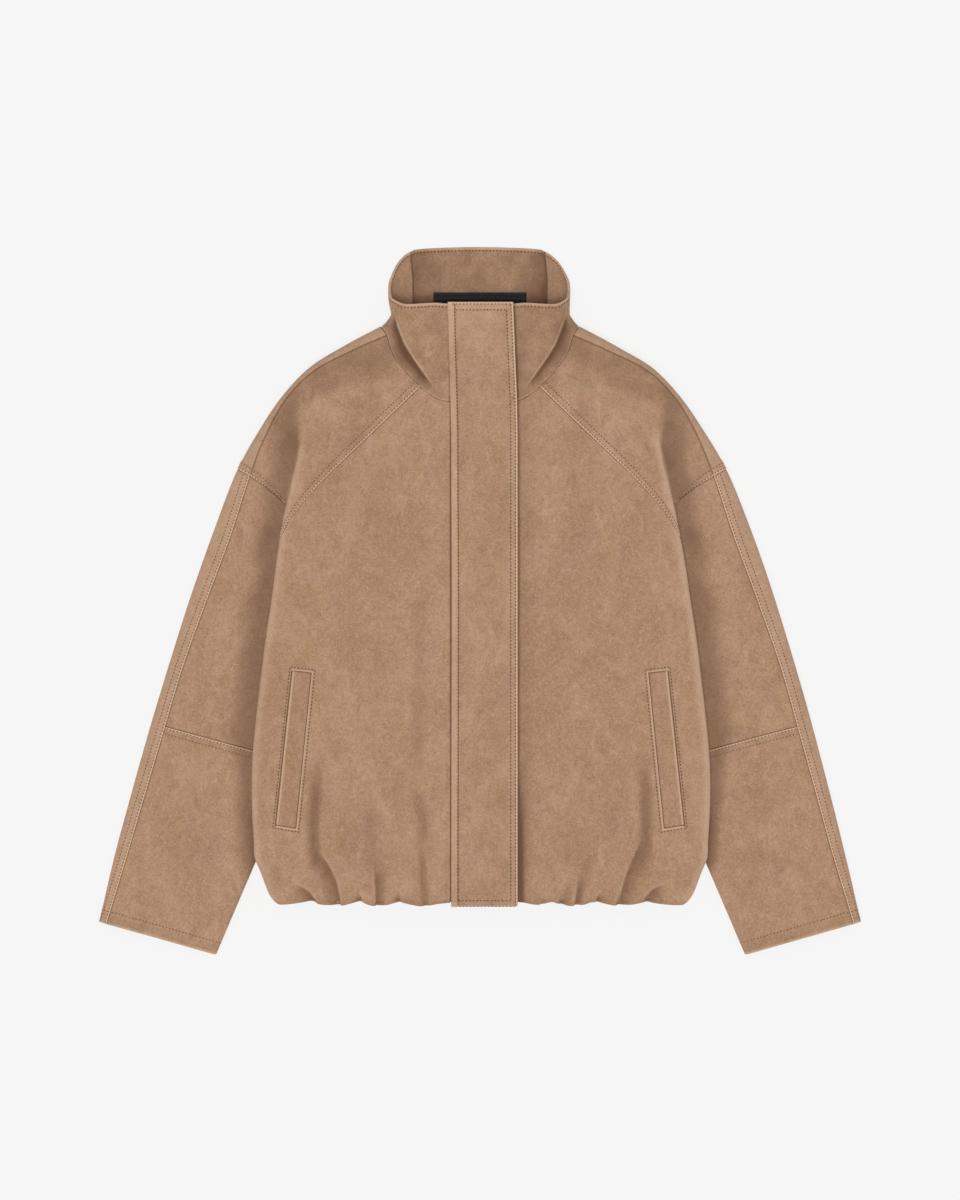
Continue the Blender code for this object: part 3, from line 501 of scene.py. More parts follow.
def shoulder_front_surface(share, place):
    """Front shoulder: share is 0 at the shoulder seam and 1 at the raglan seam, and past the
    dropped seam the body's fold runs on under itself."""
    under = np.clip((place + SEAM) / UNDERFOLD, 0, 1) * np.pi / 2
    place = np.minimum(place, -SEAM)
    plan = shoulder_plan(share, place)
    across, y = plan[..., 0], plan[..., 1]
    row = arm_curve(place)
    distance = row[..., 5] + share * SHOULDER_WIDTH
    turn = np.arccos(np.clip(1 - distance / ARM_RADIUS, 0, 1))
    low = row[..., 6] / 2 * (1 + np.sin(turn))
    crease = ramp(y, CREASE_START, CREASE_FULL)
    foot_width = CREASE_FOOT + CREASE_MORE * ramp(y, *CREASE_WIDENS)
    step = fold_step(body_edge(y) - across, foot_width)
    level = (1 - crease) * ramp(share, 0, 1) + crease * step
    z = low + (front_level(across, y) - low) * level
    drop = (z - sleeve_level(across, y) + UNDERFOLD_DEEPER) * ramp(share, *UNDERFOLD_FROM)
    drop = np.maximum(drop, UNDERFOLD_LEAST)
    across = across - drop * (1 - np.cos(under))
    return np.stack([across, y, z - drop * np.sin(under)], axis=-1)


# ---- collar
def collar_surface(side):
    """a counts the sections round the collar, v is 0 at the neck seam and 1 at the top."""
    def surface(a, v):
        row = collar_curve(a)
        neck, ridge, top = row[..., 0:3], row[..., 3:6], row[..., 6:9]
        past = v - RIDGE_SHARE
        up = (past + np.sqrt(past ** 2 + RIDGE_SOFTNESS ** 2)) / 2
        down = up - past
        point = ridge + (top - ridge) * (up / (1 - RIDGE_SHARE))[..., None]
        point = point + (neck - ridge) * (down / RIDGE_SHARE)[..., None]
        point[..., 2] = np.maximum(point[..., 2], 0)
        if side == RIGHT:
            point[..., 2] = point[..., 2] - flap_sink(point[..., 0], point[..., 1])
        return point

    return surface


def collar_back_surface(a, v):
    """The same past the back centre, on to the other side."""
    past = a > COLLAR_CENTRE_BACK
    point = collar_surface(LEFT)(np.where(past, 2 * COLLAR_CENTRE_BACK - a, a), v)
    point[..., 0] = np.where(past, -point[..., 0], point[..., 0])
    return point


# ---- what lies on the panels
def flap_base(share, v):
    """Outer face of the fronts and the collar under the flap: share is 0 at its sewn edge and
    1 at its free one, and v is as in hem_path, 1 at its top."""
    y, roll_in = hem_path(v, FLAP_TOP_Y)
    x = FLAP_LEFT + (read(FLAP_TAPER, y) - FLAP_LEFT) * share
    on_body = y < COLLAR_CENTRE[0][0]
    z = np.where(on_body, front_level(x, y), read(COLLAR_CENTRE, y)) - LIP_DEPTH_FRONT * roll_in
    return np.stack([x, y, z], axis=-1)


# ---- relief of the cloth
# Of a panel's edge: its finish, its stitch rows as (distance, trim, trim), and the shade painted
# in their dents.
Edge = namedtuple("Edge", "finish rows groove", defaults=((), 0.10))
LAP_RISE = 0.5  # of the panel whose seam allowance is stitched down
LAP_WIDTH = 9.0
LAP_FALL = 12.0
Finish = namedtuple("Finish", "roll lip lip_width wear wear_width wear_place", defaults=(
    0.0, 1.0, 0.0, 1.0, 0.0))
FINISHES = {  # roll's radius; its lip's height and width; rubbed nap and painted light, below 0 painted shade; its width and distance in
    # rolled edges are lighter with rubbed nap and a painted highlight; under edges, grooves and
    # welts are darkened with painted shade
    "lap": Finish(0.75, wear=1.2, wear_width=0.9, wear_place=0.9),
    "ridge": Finish(0.75),
    "plain": Finish(0.55, 0.2, 3.0, 0.7, 0.7, 0.5),
    "under": Finish(0.3, -0.2, 1.2, -0.85, 0.85),
    "groove": Finish(0.3, -0.2, 1.2, -0.6, 0.85),
    "free": Finish(0.8, wear=0.9, wear_place=1.0),
    "cuff": Finish(0.8, wear=0.45, wear_place=1.0),
    "thick": Finish(1.45, wear=0.9, wear_width=1.7, wear_place=1.0),
    "flap": Finish(0.75, wear=1.7, wear_width=0.85, wear_place=1.2),
    "welt": Finish(0.4, wear=-0.9, wear_width=0.9),
    "hidden": Finish(0.0),
}
RIDGE_WIDTH = 6.2  # of the flap between its seam and its stitches
TUCK_OUT, TUCK_DOWN = 1.6, 0.4  # how an "under" edge runs on beneath its neighbour
STITCH_SINK = 0.16
STITCH_ROW = 0.65  # half the width of the dent along a row
PUCKER, PUCKER_SIZE, PUCKER_SEED = 0.10, 6.5, 21  # where its thread gathers a seam
UNEVEN = {  # size, amount and seed of a panel's unevenly brushed nap
    "shoulder": (24.0, 0.13, 41), "collar_front": (17.0, 0.17, 43),
    "collar_back": (15.0, 0.20, 47), "flap": (26.0, 0.09, 53),
}
DARKEST = -1.2  # the deepest painted shade, in the deepest folds
NEAR_ROW, FAR_ROW = 2.2, 7.8

OFF_HEM, SOFT = (0.0, 0.4), (0.3, 0.3)
# Along each crease: foot, middle and head in x and y; its greatest depth; its widths on the
# side away from the centre and towards it; and the shares over which its ends fade, SOFT if
# none are given. One whose foot doesn't fade runs off over the hem. One that is far narrower
# on a side is a fold: the cloth rolls over it from there. A negative depth is a ridge's height.
Crease = namedtuple("Crease", (
    "foot_x foot_y middle_x middle_y head_x head_y depth outer inner ends"), defaults=(SOFT,))
CREASES = (
    # gathers of the left front's hem
    (-173.4, -318, -184, -304.5, -199, -297, 4.2, 11, 1.5, OFF_HEM),
    (-147.3, -318.5, -153.6, -290, -171, -262, 5, 12, 1.6, (0, 0.25)),
    (-124.6, -318, -126.5, -312, -129, -306, 3, 4.5, 1.5, OFF_HEM),
    (-108.7, -319, -108.5, -300, -111, -268, 3.8, 1.6, 9, OFF_HEM),
    (-83.6, -319, -84.6, -312, -85.6, -305, 3, 4.5, 1.5, OFF_HEM),
    (-57, -319, -59.3, -285, -63, -240, 3.2, 3.6, 3.2, OFF_HEM),
    # and of the right front's
    (173.6, -318.5, 181.7, -304.5, 198, -297, 4.2, 10, 1.5, OFF_HEM),
    (144.3, -319, 155.5, -286, 171.5, -248, 5, 13, 1.6, (0, 0.25)),
    (122.6, -317, 125, -311, 128.4, -304.5, 3, 4.5, 1.5, OFF_HEM),
    (100, -319.5, 101.4, -308, 105.5, -284, 4.6, 6, 1.5, OFF_HEM),
    (87, -318, 93.5, -301, 95, -283, 1.8, 3, 3, (0, 0.4)),
    (84, -317, 84.9, -311, 86, -305, 2.6, 4, 1.5, OFF_HEM),
    (64.4, -318, 64.8, -313, 65, -308, 1.8, 3.5, 1.5, OFF_HEM),
    # where they run on up the fronts
    (-169.5, -284, -173.5, -236, -165.5, -145, 4.8, 6, 5.4, (0.12, 0.45)),
    (-203, -306, -208.5, -294, -217, -272, 1.2, 4, 4),
    (-108.5, -292, -113.5, -250, -117, -205, 2.2, 8, 6),
    (-62, -262, -60, -225, -70, -190, 2.6, 7, 5),
    (-62, -205, -64, -80, -62, 40, 1.7, 7, 6),
    (-120, 55, -110, 110, -92, 170, 1.1, 13, 11),
    (-78, -250, -84, -215, -86, -170, 0.8, 9, 8),
    (-34.6, -320, -34.5, -210, -34.4, -95, 0.7, 1.2, 1.2, (0, 0.3)),
    (168, -276, 174, -226, 169.5, -140, 4.7, 6.2, 5.6, (0.2, 0.5)),
    (209, -306, 207, -294, 213, -272, 1, 4, 4),
    (96, 25, 101, 68, 108, 120, 1.2, 13, 11),
    (106, -300, 112, -280, 119, -262, 1.8, 6, 5),
    (94, -290, 97, -245, 95, -190, 1, 8, 8),
    (44, -322, 44, -250, 46, -130, 1.8, 8, 5, (0, 0.5)),
    (133, -262, 140, -225, 146, -185, 0.9, 9, 8),
    (-134, -300, -137, -262, -141, -220, 1, 8, 7),
    # soft drag lines on the shoulders
    (-82, 246, -98, 241, -118, 231, 2.1, 7, 7),
    (-112, 208, -136, 209, -160, 205, 1.5, 6, 6),
    (-124, 244, -150, 238, -176, 228, -1.4, 6, 6),
    (-158, 222, -172, 206, -184, 186, -1, 6, 6),
    (-152, 190, -170, 172, -183, 148, 1, 8, 8),
    (88, 240, 106, 234, 126, 222, 2.1, 7, 7),
    (118, 222, 134, 212, 154, 204, 1.6, 6, 6),
    (126, 243, 160, 238, 194, 228, -1.4, 6, 6),
    (160, 214, 174, 206, 190, 196, -1.1, 6, 6),
    (150, 192, 168, 174, 184, 146, 1, 8, 8),
    # sleeves, from the armpit and round the elbow
    (-214, 88, -226, 62, -243, 34, 1.4, 9, 9),
    (-221, 40, -238, 4, -262, -28, 1.1, 10, 10),
    (-240, -150, -268, -140, -300, -146, 0.9, 8, 8),
    (-252, -190, -280, -200, -312, -214, 1, 10, 10),
    (-262, -262, -300, -262, -340, -276, 0.9, 11, 11),
    (214, 88, 228, 60, 244, 30, 1.4, 9, 9),
    (222, 36, 240, 2, 266, -26, 1.1, 10, 10),
    (242, -146, 270, -138, 302, -144, 0.9, 8, 8),
    (254, -196, 284, -204, 316, -220, 1, 10, 10),
    (264, -268, 302, -270, 342, -286, 0.9, 11, 11),
)
HEM_WAVE = (  # x, how far up the hem is drawn: notches between soft bulges
    (-222, 0), (-203.7, 0.2), (-186.9, 2), (-176, 2.9), (-166, 0.1), (-147, -0.8),
    (-136.5, 1.2), (-124.6, 2.9), (-117, 0.3), (-107, -1.5), (-98.5, -0.7), (-88, 2),
    (-82.5, 2.4), (-73.5, 0.3), (-60.9, -1.9), (-44, 0.7), (-35.7, 1.5), (46.2, 1.6),
    (54.6, 0.3), (61, -0.1), (67.2, 0.8), (75.6, 2.8), (84, 0.3), (100.8, -1.1),
    (109.2, -0.2), (117.6, 2.8), (122, 2.6), (128.1, 1.6), (138.6, -0.1), (149.1, -1.1),
    (159.6, -0.3), (172.2, 2.6), (180.6, 1.5), (193.2, 0.3), (203.7, -0.4), (222, 0),
)
WAVE_TOP, WAVE_FOOT = -294.0, -313.0
COLLAR_FOLD = (  # across, y of the edge that the collar's front leans over
    (47, 221), (52, 228), (61.5, 241.5), (70, 253.5), (79, 268), (85.1, 284),
    (90.5, 296), (94.5, 309),
)
FOLD_DROP = 6.5  # from that edge to the collar's foot
FOLD_REACH = 12.5
FOLD_SECTIONS = 7.6, 9.0  # of the collar, where it ends
UNDER_CREASES = (
    (-150, -318, -152, -290, -160, -255, 1.6, 8, 4, OFF_HEM),
    (-96, -318, -97, -295, -101, -262, 1.3, 6, 4, OFF_HEM),
    (-34, -318, -35, -290, -31, -248, 1.5, 7, 4, OFF_HEM),
    (22, -318, 23, -300, 27, -272, 1.2, 5, 3, OFF_HEM),
    (81, -318, 83, -290, 88, -250, 1.5, 7, 4, OFF_HEM),
    (139, -318, 142, -292, 151, -259, 1.6, 8, 4, OFF_HEM),
    (-60, 150, 0, 142, 64, 153, 0.8, 10, 10),
    (-270, 20, -245, -10, -228, -48, 0.8, 9, 9),
    (268, 16, 246, -14, 230, -50, 0.8, 9, 9),
)
SWELLS = ((74.0, 0.32, 11), (27.0, 0.11, 12))  # size, height and seed of the cloth's swells


def near_line(points, line):
    """Signed distance of plan points to a line of points, left of it positive, and the share
    along the line."""
    runs = line[1:] - line[:-1]
    lengths = np.hypot(runs[:, 0], runs[:, 1])
    starts = np.concatenate([[0.0], np.cumsum(lengths)[:-1]])
    best = np.full(len(points), np.inf)
    signed, along = np.zeros(len(points)), np.zeros(len(points))
    for start, run, length, before in zip(line, runs, lengths, starts):
        off = points - start
        way = np.clip(off @ run / length, 0, length)
        gap = off - way[:, None] * run / length
        distance = np.hypot(gap[:, 0], gap[:, 1])
        nearer = distance < best
        side = np.sign(run[0] * off[:, 1] - run[1] * off[:, 0])
        best = np.where(nearer, distance, best)
        signed = np.where(nearer, distance * side, signed)
        along = np.where(nearer, before + way, along)
    return signed, along / lengths.sum()


def crease_line(crease):
    """Curve through a crease's three points, and on over the hem if its foot doesn't fade."""
    foot, middle, head = np.reshape(crease[:6], (3, 2))
    t = np.linspace(0, 1, 9)[:, None]
    line = foot * (1 - t) * (1 - 2 * t) + middle * 4 * t * (1 - t) + head * t * (2 * t - 1)
    if not crease.ends[0]:
        line = np.concatenate([[foot + (0, -15)], line])
    return line


SOFT_SHADE = 0.15  # of a soft trough, per millimetre of its depth
CRISP_RATIO = 1.5, 2.8  # of a crease's widths, from a soft trough to a sharp fold
FOLD_SHADE, CORE_SHADE, CORE_WIDTH = 0.46, 0.34, 5.0  # in a fold, and more along its line
FOLD_ROLL, FOLD_RIM_HIGHLIGHT, FULL_DEPTH = 0.2, 0.35, 4  # height of the roll beside its line, painted highlight on its rim; depth of the full effect


def faded(share, width):
    """1, but fading in from share 0 over a width that isn't 0."""
    return ramp(share, 0.0, width) if width else 1.0


def crease_relief(points, creases):
    """Height, painted shade and painted highlight that the creases give to plan points."""
    height, wear = np.zeros(len(points)), np.zeros(len(points))
    for crease in (Crease(*row) for row in creases):
        line = crease_line(crease)
        reach = 3.0 * max(crease.outer, crease.inner, 5.0)
        near = ((points > line.min(0) - reach) & (points < line.max(0) + reach)).all(1)
        if not near.any():
            continue
        signed, along = near_line(points[near], line)
        narrow, wide = sorted((crease.inner, crease.outer))
        rolls_in = 1 if crease.outer >= crease.inner else -1
        inward = signed * np.sign(crease.foot_x or 1) * rolls_in
        foot, head = crease.ends
        fade = faded(along, foot) * faded(1 - along, head)
        crisp = ramp(wide / narrow, *CRISP_RATIO)
        outer = bell(np.minimum(inward, 0), wide)
        sharp = 1 - ramp(inward, 0.0, narrow)
        soft = bell(np.maximum(inward, 0), narrow)
        trough = outer * (crisp * sharp + (1 - crisp) * soft)
        reach = wide * (0.75 + 0.75 * along)
        shade = FOLD_SHADE * bell(np.minimum(inward, 0), reach, power=4)
        shade = (shade + CORE_SHADE * bell(np.minimum(inward, 0), CORE_WIDTH)) * sharp
        roll = FOLD_ROLL * crisp * ramp(inward, 0.0, 3.0) * bell(inward, 6.0, 4.5)
        # painted highlight along the fold's rim
        rim = bell(inward - narrow, 0.9, 0.3)
        strength = fade * crisp * min(crease.depth / FULL_DEPTH, 1.0)
        height[near] += crease.depth * fade * (roll - trough)
        wear[near] += strength * (FOLD_RIM_HIGHLIGHT * rim - shade)
        wear[near] -= SOFT_SHADE * (1 - crisp) * fade * crease.depth * trough
    return height, wear


def collar_fold(points, section):
    """Height of the fold that the collar's front leans over, with a painted highlight along its
    edge and painted shade in the recess beyond.
    """
    plan = np.abs(points[..., :2]).reshape(-1, 2)
    signed, along = near_line(plan, np.array(COLLAR_FOLD))
    out = -signed.reshape(section.shape)
    along = along.reshape(section.shape)
    fade = ramp(along, 0.0, 0.24) * (1 - ramp(along, 0.72, 0.97))
    fade = fade * (1 - ramp(section, *FOLD_SECTIONS))
    drop = ramp(out, -0.5, 1.1) * (1 - ramp(out, 1.1, FOLD_REACH))
    height = 0.6 * bell(out, 2.5, -2.5) - FOLD_DROP * drop
    # painted highlight along the fold's edge
    rim = 0.6 * bell(out, 0.9, -0.9)
    left = points[..., 0] < 0
    beyond = np.maximum(out, 0)
    # painted shade in the recess beyond the fold, wider and deeper on the left
    recess = (0.55 + 0.35 * left) * bell(beyond, 4.0 + left)
    recess = recess + (0.50 + 0.12 * left) * bell(beyond, 10.0 + 4.0 * left)
    return height * fade, (rim - ramp(out, 0.0, 1.2) * recess) * fade


hem_wave_curve = smooth_curve(HEM_WAVE)


def wavy(points, even=None):
    """Points whose hem is drawn up and let down along its length, or evenly."""
    wave = hem_wave_curve(points[..., 0])[..., 0] if even is None else even
    lift = wave * ramp(points[..., 1], WAVE_TOP, WAVE_FOOT)
    return points + lift[..., None] * (0, 1, 0)


def beside_flap(points):
    """Shade on what the flap's free edge lies on, deepest low down."""
    y = points[..., 1]
    beyond = points[..., 0] - read(FLAP_TAPER, y)
    out = np.maximum(beyond, 0)
    low = ramp(y, -170.0, -270.0)
    high = 0.75 * bell(out, 2.2, power=4) + 0.24 * bell(out, 16.0, power=4)
    deep = 1.45 * (1 - ramp(out, 1.0, 9.5)) + 0.08 * bell(out, 20.0)
    return -((1 - low) * high + low * deep) * (beyond > -6)


def uneven(points, size, amount, seed):
    """Shade of a nap that is brushed unevenly."""
    plan = points[..., :2].reshape(-1, 2)
    patches = bumps(plan, size, seed) + 0.6 * bumps(plan, size * 0.4, seed + 1)
    return amount * patches.reshape(points.shape[:2])


RIM_LEFT, RIM_RIGHT, RIM_TOP = 0.42, 0.62, (190.0, 150.0)  # light on the body's side folds
BODY_LEAN = 1.1  # of the body's sides to the right
LEAN_FROM = 120.0, 200.0  # across, from where nothing leans to where all does


def lean(y):
    return BODY_LEAN * ramp(y, 90.0, 0.0)


def lean_over(points):
    """Moves the body's sides, and less of what lies further in."""
    points[..., 0] += lean(points[..., 1]) * ramp(np.abs(points[..., 0]), *LEAN_FROM)


def body_rim(points):
    """Light on the nap where the body's side folds over."""
    x, y = points[..., 0], points[..., 1]
    inside = body_edge(y) - np.abs(x - lean(y))
    light = np.where(x > 0, RIM_RIGHT, RIM_LEFT) * ramp(y, *RIM_TOP)
    return light * bell(np.maximum(inside - 1.0, 0), 5.5) * (inside > -1.5)


def beside_body(points):
    """Shade in the fold between the body and what goes under its side."""
    x, y = points[..., 0], points[..., 1]
    left = x < 0
    out = np.abs(x - lean(y)) - body_edge(y)
    armpit, above, low = ramp(y, 0.0, 60.0), ramp(y, 150.0, 195.0), ramp(y, -195.0, -235.0)
    waist = ramp(y, 35.0, -5.0) * ramp(y, -195.0, -130.0)
    near = (0.55 * low - 0.20 * (1 - above)) * np.exp(-np.maximum(out, 0) / 3.5)
    width = 15.0 + 8.0 * armpit + 5.0 * ramp(y, 85.0, 120.0) + 4.0 * above
    width = width - np.where(left, -2.0, 4.0) * low + 10.0 * waist
    wide = bell(np.maximum(out, 0), width, power=3.5)
    depth = 0.74 - 0.08 * above - np.where(left, 0.02, 0.13) * bell(y, 40.0, 35.0)
    depth = depth + np.where(left, 0.16, 0.12) * bell(y, 25.0, 156.0)
    shade = near + depth * wide
    return -shade * ramp(out, -1.0 - above, 0.6 + 9.0 * above) * ramp(y, 232.0, 192.0)


def shoulder_shade(points, share):
    """Shade where the shoulder falls away to its outline, next to the neck."""
    y, down = points[..., 1], share * SHOULDER_WIDTH
    near = bell(down, 15.0, 10.0) * ramp(y, 190.0, 245.0)
    # painted highlight along a soft ridge further down the shoulder
    ridge = bell(down, 9.0, 31.0) * ramp(y, 192.0, 212.0) * ramp(y, 262.0, 238.0)
    return 0.16 * ridge - 0.52 * near


def bumps(points, size, seed):
    """Smooth uneven field between -1 and 1 over plan points."""
    lattice = np.random.default_rng(seed).uniform(-1, 1, (64, 64))
    cell = np.floor(points / size).astype(int)
    x, y = np.moveaxis(points / size - cell, -1, 0)
    x, y = x * x * (3 - 2 * x), y * y * (3 - 2 * y)
    i, j = np.moveaxis(cell % 64, -1, 0)
    n, m = (i + 1) % 64, (j + 1) % 64
    low = lattice[i, j] * (1 - x) + lattice[n, j] * x
    high = lattice[i, m] * (1 - x) + lattice[n, m] * x
    return low * (1 - y) + high * y


def drape(points, up, creases=CREASES):
    """Height along the normal that creases and swells give to plan points, and the creases'
    painted shade and highlight. up is the normal's rise: the underside has creases of its own
    and no swells, because it rests."""
    flat = points[..., :2].reshape(-1, 2)
    over, wear = crease_relief(flat, creases)
    for size, height, seed in SWELLS:
        over = over + height * bumps(flat, size, seed)
    tucked = (np.abs(flat[:, 0]) < body_edge(flat[:, 1])) & (flat[:, 1] < ARMPIT[1])
    low = points[..., 2].reshape(-1) < SLEEVE_TOP + 1.0
    over = np.where(tucked & low, np.minimum(over, 0.0), over)
    under, _ = crease_relief(flat, UNDER_CREASES)
    rise = up.reshape(-1)
    facing_up = ramp(rise, -0.9, -0.1) * (0.3 + 0.7 * ramp(rise, 0.0, 0.7))
    height = over * facing_up + under * ramp(-rise, 0.1, 0.9)
    return height.reshape(up.shape), (wear * facing_up).reshape(up.shape)


def edge_shape(distance, edge):
    """Height of a panel's face at a distance from one of its edges, with its rubbed nap and
    painted light and shade.
    """
    finish = FINISHES[edge.finish]
    inside = np.clip(finish.roll - distance, 0, finish.roll)
    height = np.sqrt(finish.roll ** 2 - inside ** 2) - finish.roll
    height = height + finish.lip * bell(distance, finish.lip_width)
    wear = finish.wear * bell(distance, finish.wear_width, finish.wear_place)
    if edge.finish == "lap":
        height = height + LAP_RISE * (1 - ramp(distance, LAP_WIDTH, LAP_FALL))
    elif edge.finish == "ridge":
        inner = ramp(distance, RIDGE_WIDTH + 1.0, RIDGE_WIDTH - 0.8)
        height = height + LAP_RISE * inner
        # lighter over the raised band between the seam and its stitches: rubbed nap and a painted
        # highlight
        wear = 0.37 * inner * ramp(distance, 0.1, 0.9)
    elif edge.finish == "cuff":
        # darker in a band between the cuff's edge and its stitch row
        wear = wear - 0.14 * ramp(distance, 1.5, 4.0) * (1 - ramp(distance, 9.0, 13.0))
    for row, _, _ in edge.rows:
        dent = bell(distance, STITCH_ROW, row)
        height = height - STITCH_SINK * dent
        # painted shade in each stitch row's dent
        wear = wear - edge.groove * dent
    return height, wear


EDGE_ENDS = {  # of an edge: the grid's axis, its last line there and the one before
    "left": (1, 0, 1), "right": (1, -1, -2), "foot": (0, 0, 1), "top": (0, -1, -2),
}


def tucked(layers, edges):
    """Grids of points, normals, and rubbed nap with painted light and shade, whose sewn-under
    edges run on, outwards and down.
    """
    for name, (axis, last, before) in EDGE_ENDS.items():
        if name not in edges or edges[name].finish not in ("under", "groove"):
            continue
        ends = [np.take(layer, [last], axis) for layer in layers]
        out = unit(ends[0] - np.take(layers[0], [before], axis))
        ends[0] = ends[0] + (out * TUCK_OUT - ends[1] * TUCK_DOWN)
        pairs = [(end, layer) if last == 0 else (layer, end) for end, layer in zip(ends, layers)]
        layers = [np.concatenate(pair, axis) for pair in pairs]
    return layers


def edge_distances(points):
    """Distance of each grid point from the grid's first and last column and row."""
    across = np.linalg.norm(np.diff(points, axis=1), axis=-1)
    up = np.linalg.norm(np.diff(points, axis=0), axis=-1)
    from_left = np.pad(np.cumsum(across, axis=1), ((0, 0), (1, 0)))
    from_foot = np.pad(np.cumsum(up, axis=0), ((1, 0), (0, 0)))
    return {"left": from_left, "right": from_left[:, -1:] - from_left,
            "foot": from_foot, "top": from_foot[-1:] - from_foot}


def edge_relief(points, edges):
    """Height, and rubbed nap with painted light and shade, of a face, from all its edges."""
    height, wear = np.zeros(points.shape[:2]), np.zeros(points.shape[:2])
    sewn = np.zeros(points.shape[:2])
    distances = edge_distances(points)
    for name, edge in edges.items():
        rise, worn_and_painted = edge_shape(distances[name], edge)
        height, wear = height + rise, wear + worn_and_painted
        if edge.rows:
            sewn = np.maximum(sewn, 1 - ramp(distances[name], LAP_WIDTH, LAP_FALL))
    plan = points[..., :2].reshape(-1, 2)
    ripple = bumps(plan, PUCKER_SIZE, PUCKER_SEED).reshape(height.shape)
    return height + PUCKER * ripple * sewn, np.clip(wear, DARKEST, 1)


# ---- stitches
PITCH = 3.6
STITCH_LENGTH, STITCH_WIDTH, STITCH_HEIGHT = 1.85, 1.2, 0.6
THREAD_SIDES = 5
THREAD_RINGS = (  # place along a stitch, its lift and its size
    (-1.0, -0.75, 0.45), (-0.62, 0.2, 0.95), (0.62, 0.2, 0.95), (1.0, -0.75, 0.45),
)
THREAD_LIFT = 0.2
threads = {}  # group: list of (centres, directions, normals)


def line_along(grid, edge, distance, spread):
    """A grid's values along the line at a distance from one of its edges, where spread is
    the points' distance from that edge."""
    if edge in ("foot", "top"):
        grid, spread = np.swapaxes(grid, 0, 1), spread.T
    order = np.argsort(spread, axis=1)
    lines = []
    for values, places, turn in zip(grid, spread, order):
        lines.append([np.interp(distance, places[turn], column[turn]) for column in values.T])
    return np.array(lines)


def mark_stitches(group, line, up, start_trim=0.0, end_trim=0.0, closed=False):
    """Marks stitches along a line, or round a closed one, whose normals are given."""
    way = np.concatenate([[0], np.cumsum(np.linalg.norm(np.diff(line, axis=0), axis=1))])
    span = way[-1] - start_trim - end_trim
    count = int(span / PITCH)
    if count < 1:
        return
    middles = start_trim + span * (np.arange(count) + 0.5) / count
    period = way[-1] if closed else None

    def at(places, values):
        return np.stack([np.interp(places, way, column, period=period) for column in values.T],
                        axis=1)

    along = unit(at(middles + 1, line) - at(middles - 1, line))
    threads.setdefault(group, []).append((at(middles, line), along, at(middles, up)))


def sew(group, points, normals, edges):
    """Marks the stitches along all the rows of a face's edges."""
    for name, edge in edges.items():
        for distance, start_trim, end_trim in edge.rows:
            spread = edge_distances(points)[name]
            line, up = (line_along(grid, name, distance, spread) for grid in (points, normals))
            mark_stitches(group, line, up, start_trim, end_trim)


def thread_mesh(group):
    """One mesh of all the stitches of a group, each a thread that rises out of the cloth and
    dips back into it."""
    centres, along, up = (np.concatenate(parts) for parts in zip(*threads[group]))
    across = unit(np.cross(up, along))
    up = np.cross(along, across)
    angles = np.arange(THREAD_SIDES) * 2 * np.pi / THREAD_SIDES + np.pi / 2
    points = []
    for place, lift, size in THREAD_RINGS:
        for angle in angles:
            points.append(centres + along * place * STITCH_LENGTH / 2
                          + across * np.cos(angle) * size * STITCH_WIDTH / 2
                          + up * (lift * THREAD_LIFT + np.sin(angle) * size * STITCH_HEIGHT / 2))
    points = np.stack(points, axis=1)
    sides = THREAD_SIDES
    faces = []
    for ring in range(len(THREAD_RINGS) - 1):
        for side in range(sides):
            low, high = ring * sides, (ring + 1) * sides
            turn = (side + 1) % sides
            faces.append((low + side, low + turn, high + turn, high + side))
    last = (len(THREAD_RINGS) - 1) * sides
    caps = (tuple(range(sides - 1, -1, -1)), tuple(range(last, last + sides)))
    shift = np.arange(len(centres)) * points.shape[1]
    every = [tuple(int(corner + start) for corner in face) for start in shift
             for face in (*faces, *caps)]
    return points.reshape(-1, 3), every


# ---- meshes
ROLL_STEP, ROLL_BAND = 0.35, 1.4  # grid spacing over a rolled edge, and how far in
STEP_GROWTH, LENGTH_SAMPLES = 0.2, 4001  # with the distance from the edge
EDGE_STEP, EDGE_BAND = 1.05, 8.5  # grid spacing near an edge


def graded(start, end, length, step, fine_start=True, fine_end=True):
    """Grid places from start to end of a length, close together near its fine ends."""
    along = np.linspace(0, length, LENGTH_SAMPLES)
    far = np.full_like(along, np.inf)
    near = np.minimum(along if fine_start else far, length - along if fine_end else far)
    wider = EDGE_STEP + (near - EDGE_BAND) * STEP_GROWTH
    gap = np.clip(wider, EDGE_STEP, max(step, EDGE_STEP))
    gap = np.where(near < ROLL_BAND, ROLL_STEP, gap)
    count = np.cumsum(1 / gap) * (along[1] - along[0])
    places = int(np.ceil(count[-1])) + 1
    share = np.interp(np.linspace(count[0], count[-1], places), count, along / length)
    return start + (end - start) * share


def face_normals(surface, a, b):
    """Unit normals of a surface, from its slopes."""
    tiny = 1e-3
    slope_a = surface(a + tiny, b) - surface(a - tiny, b)
    slope_b = surface(a, b + tiny) - surface(a, b - tiny)
    return unit(np.cross(slope_a, slope_b))


def surface_grid(surface, columns, rows, side):
    a = np.broadcast_to(np.asarray(columns, float), (len(rows), np.shape(columns)[-1]))
    b = np.broadcast_to(np.asarray(rows, float)[:, None], a.shape)
    mirror = np.array((side, 1, 1))
    return surface(a, b) * mirror, face_normals(surface, a, b) * mirror


